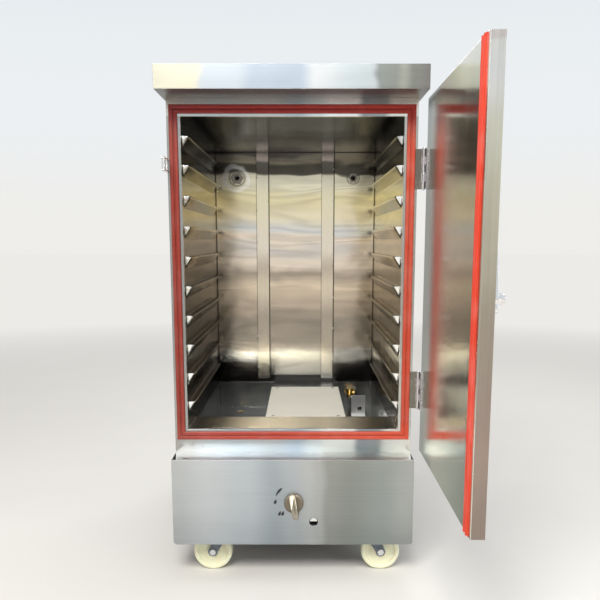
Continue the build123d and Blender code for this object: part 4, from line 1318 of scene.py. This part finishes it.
@dataclass
class PressedWall:
    """A chamber wall with rounded tray ledges pressed into it."""

    side: Side
    sheet: float = 1.0
    front: float = 9.0
    ledges: int = 10
    first: float = 351.0
    pitch: float = 59.1
    top_drop: float = 4.0
    reach: float = 13.5
    drop: float = 24.0
    below: float = 3.0
    above: float = 3.2
    margin: float = 0.5
    ledge_front: float = 20.0
    ledge_rear: float = 540.0
    ramp: float = 9.0
    fade: float = 3.2
    crease: float = 50.0

    def finish(self) -> Steel:
        """Return the wall's finish, which differs between the two sides."""
        return Finishes.wall_left if self.side is Side.LEFT else Finishes.wall_right

    def section(self) -> Outline:
        """Return the ledge's section from below to above, as fall from its head and share of its reach."""
        rise = [(-self.below, 0.0), (-1.2, 0.0), (0.4, 0.02), (2.0, 0.09), (6.0, 0.26), (12.0, 0.53)]
        rise.append((18.0, 0.80))
        nose = ((-3.6, 0.91), (-2.6, 0.965), (-1.8, 0.99), (-1.1, 1.0), (-0.6, 0.985), (-0.25, 0.95))
        head = ((-0.05, 0.88), (0.0, 0.50), (0.05, 0.12), (0.45, 0.03), (1.4, 0.0), (self.above, 0.0))
        return [*((up - self.drop, share) for up, share in rise), *nose, *head]

    def run(self) -> Outline:
        """Return places along the ledge and its height there, as a share of the whole height."""
        ends = [(-0.6, 0.0), (0.4, 0.12), (1.6, 0.42), (3.2, 0.74), (5.6, 0.94), (self.ramp, 1.0)]
        front = [(self.ledge_front + d, h) for d, h in ends]
        rear = [(self.ledge_rear - self.fade * d, h) for d, h in reversed(ends)]
        start, stop = front[-1][0], rear[0][0]
        between = [(start + (stop - start) * i / 4, 1.0) for i in range(1, 4)]
        return [(self.front, 0.0), *front, *between, *rear, (CHAMBER_REAR, 0.0)]

    def mesh(self) -> bpy.types.Mesh:
        """Press the ledges into a grid and return the wall's mesh."""
        section, run = self.section(), self.run()
        low_end = self.drop + self.below + self.margin
        tall = self.drop + 2 * (self.below + self.margin)
        growth = Growth("pressed_wall")
        ledges = growth.given("Ledges", self.ledges)
        first = growth.given("First Ledge", self.first * MM)
        pitch = growth.given("Pitch", self.pitch * MM)
        top_drop = growth.given("Top Ledge Drop", self.top_drop * MM)
        reach = growth.given("Reach", self.reach * MM)
        face = growth.given("Wall Face", at(self.side.value * CHAMBER_HALF, 0, 0).x)
        foot = growth.given("Wall Foot", WALL_FOOT * MM)
        head = growth.given("Wall Head", WALL_HEAD * MM)

        # Rows of the grid: one at the wall's foot, a section's worth for each ledge, one at its head
        points = float(len(section))
        rows = growth.plus(growth.times(ledges, points), 2.0)
        inputs = {"Size X": 1.0, "Size Y": 1.0, "Vertices X": len(run), "Vertices Y": rows}
        grid = growth.add("GeometryNodeMeshGrid", inputs)
        place = growth.parts(growth.add("GeometryNodeInputPosition").outputs[0])
        row = growth.math("ROUND", growth.times(growth.plus(place[Axis.Y], 0.5), growth.minus(rows, 1.0)))
        inner = growth.minus(row, 1.0)
        ledge = growth.math("FLOOR", growth.math("DIVIDE", growth.plus(inner, 0.01), points))
        step = growth.minus(inner, growth.times(ledge, points))
        share = growth.math("DIVIDE", step, points - 1.0)
        at_foot = growth.math("LESS_THAN", row, 0.5)
        at_head = growth.math("GREATER_THAN", row, growth.minus(rows, 1.5))
        middle = growth.minus(1.0, growth.plus(at_foot, at_head))

        # Height of each row, the top ledge a little low
        fall = growth.curve(share, [(d + low_end) / tall for d, _ in section])
        low = growth.times(growth.minus(fall, low_end / tall), tall * MM)
        level = growth.plus(first, growth.plus(growth.times(ledge, pitch), low))
        last = growth.math("COMPARE", ledge, growth.minus(ledges, 1.0), 0.1)
        level = growth.minus(level, growth.times(last, top_drop))
        z = growth.plus(growth.times(level, middle), growth.times(foot, at_foot))
        z = growth.plus(z, growth.times(head, at_head))

        # Depth of each column, and how far the sheet stands out there
        column = growth.plus(place[Axis.X], 0.5)
        length = CHAMBER_REAR - self.front
        deep = growth.curve(column, [(y - self.front) / length for y, _ in run])
        y = growth.plus(growth.times(deep, length * MM), at(0, self.front, 0).y)
        height = growth.curve(share, [h for _, h in section])
        taper = growth.curve(column, [h for _, h in run])
        out = growth.times(growth.times(height, taper), growth.times(reach, middle))
        x = growth.minus(face, growth.times(out, float(self.side.value)))
        target = growth.add("ShaderNodeCombineXYZ", {0: x, 1: y, 2: z}).outputs[0]
        pressed = growth.add("GeometryNodeSetPosition", {"Geometry": grid.outputs[0], "Position": target})
        smooth = growth.add("GeometryNodeSetShadeSmooth", {"Geometry": pressed.outputs[0]})
        return growth.grown(smooth.outputs[0], self.finish())

    def build(self) -> bpy.types.Object:
        """Give the pressed sheet its thickness and put the wall in place."""
        sheet = self.mesh()
        form = bmesh.new()
        form.from_mesh(sheet)
        inwards = Vector((-self.side.value, 0.0, 0.0))
        if sum(f.normal.dot(inwards) * f.calc_area() for f in form.faces) < 0:
            bmesh.ops.reverse_faces(form, faces=form.faces)
        bmesh.ops.solidify(form, geom=form.faces, thickness=self.sheet * MM)
        for face in form.faces:
            face.smooth = True
        for edge in form.edges:
            edge.smooth = len(edge.link_faces) == 2 and edge.calc_face_angle() < math.radians(self.crease)
        form.to_mesh(sheet)
        form.free()
        name = self.side.name.lower()
        nodes = [f"liner_{name}"]
        return settle(sheet, f"pressed_wall_{name}", self.finish(), "cabinet", nodes)


@dataclass
class Knob:
    """The gas knob: a skirted disc with a moulded finger bar, leaning as in the photograph."""

    back: float = -59.0
    radius: float = 19.5
    disc: float = 7.0
    tall: float = 28.0
    bar: float = 46.0
    fall: float = 3.0
    thumb: float = 9.0
    width: float = 14.0
    waist: float = 0.06
    end_round: float = 0.24
    side_round: float = 0.55
    steps: int = 48
    lean: float = 10.5
    grit: float = 0.45

    def skirt(self) -> bmesh.types.BMesh:
        """Return the disc, with a stepped rim."""
        r, d = self.radius, self.disc
        rim = [(r - 0.6, 0), (r, 0.6), (r, d - 2.2), (r - 0.4, d - 1.5), (r - 1.3, d - 1.1)]
        top = [(r - 1.9, d - 0.7), (r - 2.8, d - 0.1), (r - 3.8, d), (0, d + 0.35)]
        return turned([(0, 0), *rim, *top], 96)

    def grip(self) -> bmesh.types.BMesh:
        """Return the finger bar: waisted, and sloping from its middle down to its upper end."""
        form = bmesh.new()
        levels = [(1.0, 1.0, 1.0), (self.disc, 1.0, 1.0), (self.tall - 5.0, 0.985, 0.95)]
        levels += [(self.tall - 1.2, 0.97, 0.91), (self.tall - 0.3, 0.95, 0.84), (self.tall, 0.91, 0.68)]
        rings = []
        for height, long_share, wide_share in levels:
            ring = []
            for i in range(self.steps):
                turn = 2 * math.pi * i / self.steps
                along = math.copysign(abs(math.cos(turn)) ** self.end_round, math.cos(turn))
                across = math.copysign(abs(math.sin(turn)) ** self.side_round, math.sin(turn))
                waist = 1.0 - self.waist * (1.0 - along * along)
                x = along * self.bar / 2 * long_share - self.fall
                y = across * self.width / 2 * wide_share * waist
                past = max(0.0, x) / (self.bar / 2 - self.fall)
                crest = self.tall - (self.tall - self.thumb) * past
                ring.append(form.verts.new((x, y, min(height, crest))))
            rings.append(ring)
        form.faces.new(rings[0][::-1])
        form.faces.new(rings[-1])
        for low, high in zip(rings, rings[1:]):
            bridge(form, low, high)
        form.transform(Matrix.Rotation(math.radians(90 + self.lean), 4, "Z"))
        return form

    def build(self) -> bpy.types.Object:
        """Merge disc and bar into one moulding with soft joins, and put it on its stem."""
        host = shown("moulding", to_mesh(joined([self.skirt(), self.grip()]), "moulded_knob"))
        merge = host.modifiers.new("merge", "REMESH")
        merge.mode = "VOXEL"
        merge.voxel_size = self.grit
        merge.use_smooth_shade = True
        soften = host.modifiers.new("soften", "SMOOTH")
        soften.factor = 0.5
        soften.iterations = 2
        moulded = finished(host)
        moulded.transform(facing_front(KNOB_X, self.back, KNOB_Z))
        return settle(moulded, "moulded_knob", Finishes.knob, "knob", ["gas_knob"])


@dataclass
class PanelMarks:
    """The printed marks round the knob: a tapering arc, a small flame and two large ones."""

    face: float = -58.0
    thick: float = 0.08
    arc_radius: float = 38.6
    arc_start: float = 127.0
    arc_turn: float = 31.0
    arc_tip: float = 0.5
    arc_swell: float = 1.9
    arc_lean: float = 0.75
    arc_steps: int = 14
    small_flame: tuple[float, ...] = (-34.9, 162.8, 6.6, 9.6)
    large_flames: tuple[tuple[float, ...], ...] = ((-26.2, 138.4, 6.0, 10.4), (-20.0, 138.4, 6.0, 10.4))
    flame_steps: int = 24
    flame_lean: float = 2.6

    def arc(self) -> Outline:
        """Return the outline of the arc, which tapers to both its tips."""
        outer, inner = [], []
        for i in range(self.arc_steps + 1):
            share = i / self.arc_steps
            turn = math.radians(self.arc_start + self.arc_turn * share)
            half = self.arc_tip + self.arc_swell * math.sin(math.pi * share**self.arc_lean)
            for line, r in ((outer, self.arc_radius + half), (inner, self.arc_radius - half)):
                line.append((KNOB_X + r * math.cos(turn), KNOB_Z + r * math.sin(turn)))
        return outer + inner[::-1]

    def flame(self, x: float, z: float, width: float, tall: float) -> Outline:
        """Return the outline of a drop whose tip leans over.

        Args:
            x: its middle.
            z: its middle.
            width: its greatest width.
            tall: its height.

        Returns:
            The outline's points.
        """
        points = []
        for i in range(self.flame_steps):
            turn = 2 * math.pi * i / self.flame_steps
            up = 0.5 * math.cos(turn)
            across = 0.65 * math.sin(turn) * abs(math.sin(turn / 2)) ** 1.3
            points.append((x + width * across + self.flame_lean * up, z + tall * up))
        return points

    def build(self) -> bpy.types.Object:
        """Print the marks on the control box."""
        outlines = [self.arc(), *(self.flame(*drop) for drop in (self.small_flame, *self.large_flames))]
        form = joined([prism(outline, 0.0, self.thick) for outline in outlines])
        form.transform(facing_front(0, self.face, 0))
        return settle(to_mesh(form, "knob_marks"), "knob_marks", Finishes.ink, "cabinet")


@dataclass
class Wheel:
    """A moulded nylon castor wheel with a rounded tread, dished faces and a parting line."""

    castor: Castor
    radius: float = 40.0
    width: float = 24.0
    axes_x: tuple[float, float] = (-166.95, 181.75)
    axes_y: tuple[float, float] = (-4.0, 595.0)
    bore: float = 4.2

    def profile(self) -> Outline:
        """Return the wheel's section from its bore on one face round its tread to the other."""
        r, h = self.radius, self.width / 2
        hub = [(self.bore, h - 0.6), (self.bore + 0.6, h), (10.6, h), (12.4, h - 0.5), (13.2, h - 2.6)]
        dish = [(14.8, h - 3.7), (17.0, h - 4.0), (21.4, h - 4.0), (22.0, h - 4.5), (22.8, h - 4.5)]
        dish += [(23.4, h - 4.0), (27.6, h - 4.0), (29.6, h - 3.6), (30.6, h - 2.2), (31.2, h - 0.5)]
        tread = [(32.4, h), (r - 3.4, h - 0.1), (r - 1.7, h - 0.8), (r - 0.6, h - 2.2), (r - 0.12, h - 4.2)]
        half = [*hub, *dish, *tread, (r - 0.1, 0.7), (r, 0.3)]
        other = [(radius, -level) for radius, level in reversed(half)]
        return [*half, *other, half[0]]

    def build(self) -> bpy.types.Object:
        """Turn the wheel and put it on its axle."""
        side, end = self.castor.value
        form = turned(self.profile(), 96)
        form.transform(facing_front(self.axes_x[side > 0], self.axes_y[end > 0], self.radius))
        name = self.castor.name.lower()
        mesh = to_mesh(form, "wheel")
        nodes = [f"castor_wheel_{name}"]
        return settle(mesh, f"moulded_wheel_{name}", Finishes.nylon, f"wheel_{name}", nodes)


@dataclass
class SplashScrews:
    """Four pan-head screws with a cross on the head, near the splash plate's corners."""

    xs: tuple[float, float] = (-46.5, 99.5)
    ys: tuple[float, float] = (145.5, 477.0)
    seat: float = 292.0
    radius: float = 3.6
    tall: float = 1.6
    rim_share: float = 0.35
    shank: float = 2.0
    length: float = 7.0
    arm: float = 1.9
    arm_half: float = 0.35
    arm_turn: float = 0.4

    def screw(self) -> bmesh.types.BMesh:
        """Return one screw round the middle of its seat, in metres."""
        r, t = self.radius, self.tall
        rim = self.rim_share
        dome = [(0, -self.length), (self.shank, -self.length), (self.shank, 0), (r, 0), (r, rim * t)]
        dome += [(r * math.cos(a), t * (rim + (1 - rim) * math.sin(a))) for a in (0.4, 0.8, 1.2)]
        form = turned([*dome, (0.02, t), (0, t)], 32)
        across, half = self.arm, self.arm_half
        outline = [(-across, -half), (across, -half), (across, half), (-across, half)]
        for turn in (0.0, math.pi / 2):
            arm = prism(outline, t - 0.25, t + 0.02)
            arm.transform(Matrix.Rotation(turn + self.arm_turn, 4, "Z"))
            form = joined([form, arm])
        form.transform(Matrix.Scale(MM, 4))
        return form

    def build(self) -> bpy.types.Object:
        """Drive the four screws."""
        step = self.xs[1] - self.xs[0]
        rows = [Row((self.xs[0], y, self.seat), (step, 0, 0), 2) for y in self.ys]
        mesh = repeated("splash_screws", self.screw(), rows, Finishes.screw)
        nodes = ["splash_plate_screws"]
        return settle(mesh, "cross_head_screws", Finishes.screw, "cabinet", nodes)


@dataclass
class StripTacks:
    """Tack welds down both edges of the two strips on the chamber's back wall."""

    edges: tuple[float, ...] = (-104.0, -72.0, 72.0, 104.0)
    face: float = 598.6
    lowest: float = 330.0
    pitch: float = 86.0
    count: int = 7
    offset: float = 22.0

    def build(self) -> bpy.types.Object:
        """Set the tacks, those on every second edge higher by the offset."""
        drop = turned([(0, -0.9), (1.3, -0.7), (2.0, 0.0), (1.6, 0.75), (0.8, 1.15), (0, 1.3)], 14)
        rows = []
        for number, x in enumerate(self.edges):
            low = self.lowest + self.offset * (number % 2)
            rows.append(Row((x, self.face, low), (0, 0, self.pitch), self.count))
        mesh = repeated("strip_tacks", laid_down(drop, 1), rows, Finishes.weld)
        return settle(mesh, "strip_tack_welds", Finishes.weld, "cabinet")


@dataclass
class ChamberWelds:
    """Weld beads where the sill meets the walls and where the tank's sheets meet."""

    inset: float = 0.4
    sill_z: float = 298.0
    sill_front: float = 10.0
    sill_rear: float = 110.0
    tank_rear: float = 599.0
    tank_floor: float = 214.0
    rim: float = 285.5
    width: float = 3.0
    seed: int = 7

    def build(self) -> bpy.types.Object:
        """Lay the beads."""
        paths = []
        for side in Side:
            x = side.value * (CHAMBER_HALF - self.inset)
            paths.append([(x, self.sill_front, self.sill_z), (x, self.sill_rear, self.sill_z)])
            paths.append([(x, self.tank_rear, self.tank_floor), (x, self.tank_rear, self.rim)])
        mesh = welded("chamber_welds", paths, self.width, Finishes.weld, self.seed)
        return settle(mesh, "chamber_weld_beads", Finishes.weld, "cabinet")


@dataclass
class PortShadeDiscs:
    """A thin dark disc inside each steam port, put there as painted shade for the dark bore."""

    y: float = 614.0
    radius: float = 6.5
    thick: float = 1.0

    def build(self) -> bpy.types.Object:
        """Put both shade discs in their bores."""
        # Each dark disc is painted shade in its bore
        flap = turned([(0, 0), (self.radius, 0), (self.radius, self.thick), (0, self.thick)], 32)
        rows = [Row((-PORT_SPREAD, self.y, PORT_Z), (2 * PORT_SPREAD, 0, 0), 2)]
        mesh = repeated("port_flaps", laid_down(flap, 1), rows, Finishes.iron)
        return settle(mesh, "steam_port_flaps", Finishes.iron, "cabinet")


@dataclass
class ViewHoleLightSheet:
    """A polished half-round sheet in the upper half of the view hole, whose reflection stands in for the
    light seen through the hole.
    """

    x: float = 41.7
    y: float = -55.8
    z: float = 120.0
    radius: float = 7.5
    sill: float = 0.4
    sheet: float = 0.8
    steps: int = 24

    def build(self) -> bpy.types.Object:
        """Cut the half round and set it in the hole."""
        start = math.asin(self.sill / self.radius)
        turns = [start + (math.pi - 2 * start) * i / self.steps for i in range(self.steps + 1)]
        outline = [(self.radius * math.cos(a), self.radius * math.sin(a)) for a in turns]
        form = prism(outline, -self.sheet, 0.0)
        form.transform(facing_front(self.x, self.y, self.z))
        mesh = to_mesh(form, "sight_shutter")
        return settle(mesh, "sight_shutter", Finishes.mirror, "cabinet")


@dataclass
class BackRivets:
    """Blind rivets round the edge of the cabinet's back panel."""

    inset: float = 11.0
    face: float = 627.0
    foot: float = 160.0
    head: float = 935.0
    upright: int = 11
    across: int = 7

    def build(self) -> bpy.types.Object:
        """Set the rivets up both sides and along the top."""
        flange = [(0, -0.3), (3.3, -0.3), (3.3, 0.1), (2.9, 0.7)]
        dome = turned([*flange, (1.9, 1.15), (1.0, 1.3), (0.9, 1.0), (0, 1.0)], 20)
        edge = CASING_HALF - self.inset
        rise = (self.head - self.foot) / (self.upright - 1)
        rows = [Row((side.value * edge, self.face, self.foot), (0, 0, rise), self.upright) for side in Side]
        step = 2 * edge / (self.across - 1)
        rows.append(Row((-edge + step, self.face, self.head), (step, 0, 0), self.across - 2))
        mesh = repeated("back_rivets", laid_down(dome, -1), rows, Finishes.zinc)
        return settle(mesh, "back_panel_rivets", Finishes.zinc, "cabinet")


@dataclass
class Studio:
    """A plain pale floor, a pale sky, soft lamps and the photograph's camera, in metres."""

    eye: Vector = Vector((-0.0065, -1.60415, 0.6768))
    pitch_down: float = 0.1733
    lens: float = 45.82
    sensor: float = 36.0
    shift: tuple[float, float] = (-0.003, 0.125)
    aim: Vector = Vector((0.0, 0.0, 0.5))
    floor_reach: float = 40.0
    fade_from: float = 1.4
    fade_to: float = 5.0
    sky_light: float = 0.52

    def camera(self) -> None:
        """Place the camera at the photograph's angle."""
        data = bpy.data.cameras.new("camera")
        data.lens = self.lens
        data.sensor_width = self.sensor
        data.shift_x, data.shift_y = self.shift
        camera = shown("camera", data)
        camera.location = self.eye
        camera.rotation_euler = (math.pi / 2 - self.pitch_down, 0.0, 0.0)
        bpy.context.scene.camera = camera

    def lamp(self, name: str, place: Place, size: float, watts: float, tint: Colour) -> None:
        """Hang a square soft lamp that points at the cabinet's middle.

        Args:
            name: the lamp's name.
            place: where it hangs, in metres.
            size: its side, in metres.
            watts: its power.
            tint: its colour.
        """
        data = bpy.data.lights.new(name, "AREA")
        data.size = size
        data.energy = watts
        data.color = tint
        lamp = shown(name, data)
        lamp.location = place
        towards = self.aim - Vector(place)
        lamp.rotation_euler = towards.to_track_quat("-Z", "Y").to_euler()

    def seen(self, wiring: Wiring) -> Socket:
        """Return 1 for rays that show the background itself, and 0 for those that only light things."""
        path = wiring.add("ShaderNodeLightPath").outputs
        rays = wiring.math("MAXIMUM", path["Is Camera Ray"], path["Is Glossy Ray"])
        return wiring.math("MAXIMUM", rays, path["Is Transmission Ray"])

    def sky(self) -> None:
        """Make the world a soft pale gradient."""
        world = bpy.data.worlds.new("pale_sky")
        bpy.context.scene.world = world
        wiring = fresh_wiring(world)
        direction = wiring.add("ShaderNodeTexCoord").outputs["Generated"]
        rise = wiring.between(wiring.parts(direction)[Axis.Z], -0.2, 1.0, 0.0, 1.0)
        look = wiring.add("ShaderNodeBackground", {0: wiring.ramp(rise, SKY_TONES), 1: 1.0}).outputs[0]
        white = opaque((1.0, 0.99, 0.97))
        light = wiring.add("ShaderNodeBackground", {0: white, 1: self.sky_light}).outputs[0]
        both = wiring.add("ShaderNodeMixShader", {0: self.seen(wiring), 1: light, 2: look}).outputs[0]
        wiring.add("ShaderNodeOutputWorld", {"Surface": both})

    def floor(self) -> None:
        """Lay a pale floor that fades into the background."""
        form = bmesh.new()
        bmesh.ops.create_circle(form, cap_ends=True, radius=self.floor_reach, segments=96)
        mesh = to_mesh(form, "floor")
        material = bpy.data.materials.new("pale_floor")
        wiring = fresh_wiring(material)
        where = wiring.add("ShaderNodeTexCoord").outputs["Object"]
        far = wiring.vector("LENGTH", where, output=1)
        share = wiring.between(far, self.fade_from, self.fade_to, 0.0, 1.0)
        mottle = wiring.noise(where, 3.0, 5.0)
        colour = wiring.mix(mottle, opaque((0.70, 0.69, 0.67)), opaque((0.74, 0.73, 0.71)))
        matt = wiring.add("ShaderNodeBsdfDiffuse", {0: colour}).outputs[0]
        glow = wiring.add("ShaderNodeEmission", {0: opaque((0.84, 0.83, 0.80)), 1: 1.0}).outputs[0]
        share = wiring.times(share, self.seen(wiring))
        both = wiring.add("ShaderNodeMixShader", {0: share, 1: matt, 2: glow}).outputs[0]
        wiring.add("ShaderNodeOutputMaterial", {"Surface": both})
        mesh.materials.append(material)
        shown("floor", mesh)

    def build(self) -> None:
        """Set up the whole studio."""
        self.camera()
        self.sky()
        self.floor()
        self.lamp("key_lamp", (-0.5, -2.4, 2.5), 1.2, 100.0, (1.0, 0.97, 0.92))
        self.lamp("fill_lamp", (2.2, -1.9, 1.5), 1.4, 22.0, (0.95, 0.98, 1.0))
        self.lamp("back_lamp", (0.4, 2.2, 2.4), 1.6, 30.0, (1.0, 1.0, 1.0))
        bpy.context.scene.view_settings.view_transform = "Standard"


def main() -> None:
    """Load the frame, dress it, add the pieces and set up the studio."""
    logging.basicConfig(level=logging.INFO, format="%(name)s: %(message)s")
    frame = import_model()
    Studio().build()
    dress_frame(frame)
    pieces = [PressedWall(side) for side in Side] + [Knob(), PanelMarks()]
    pieces += [Wheel(castor) for castor in Castor] + [SplashScrews(), StripTacks(), ChamberWelds()]
    for piece in (*pieces, BackRivets(), PortShadeDiscs(), ViewHoleLightSheet()):
        piece.build()


if __name__ == "__main__":
    main()
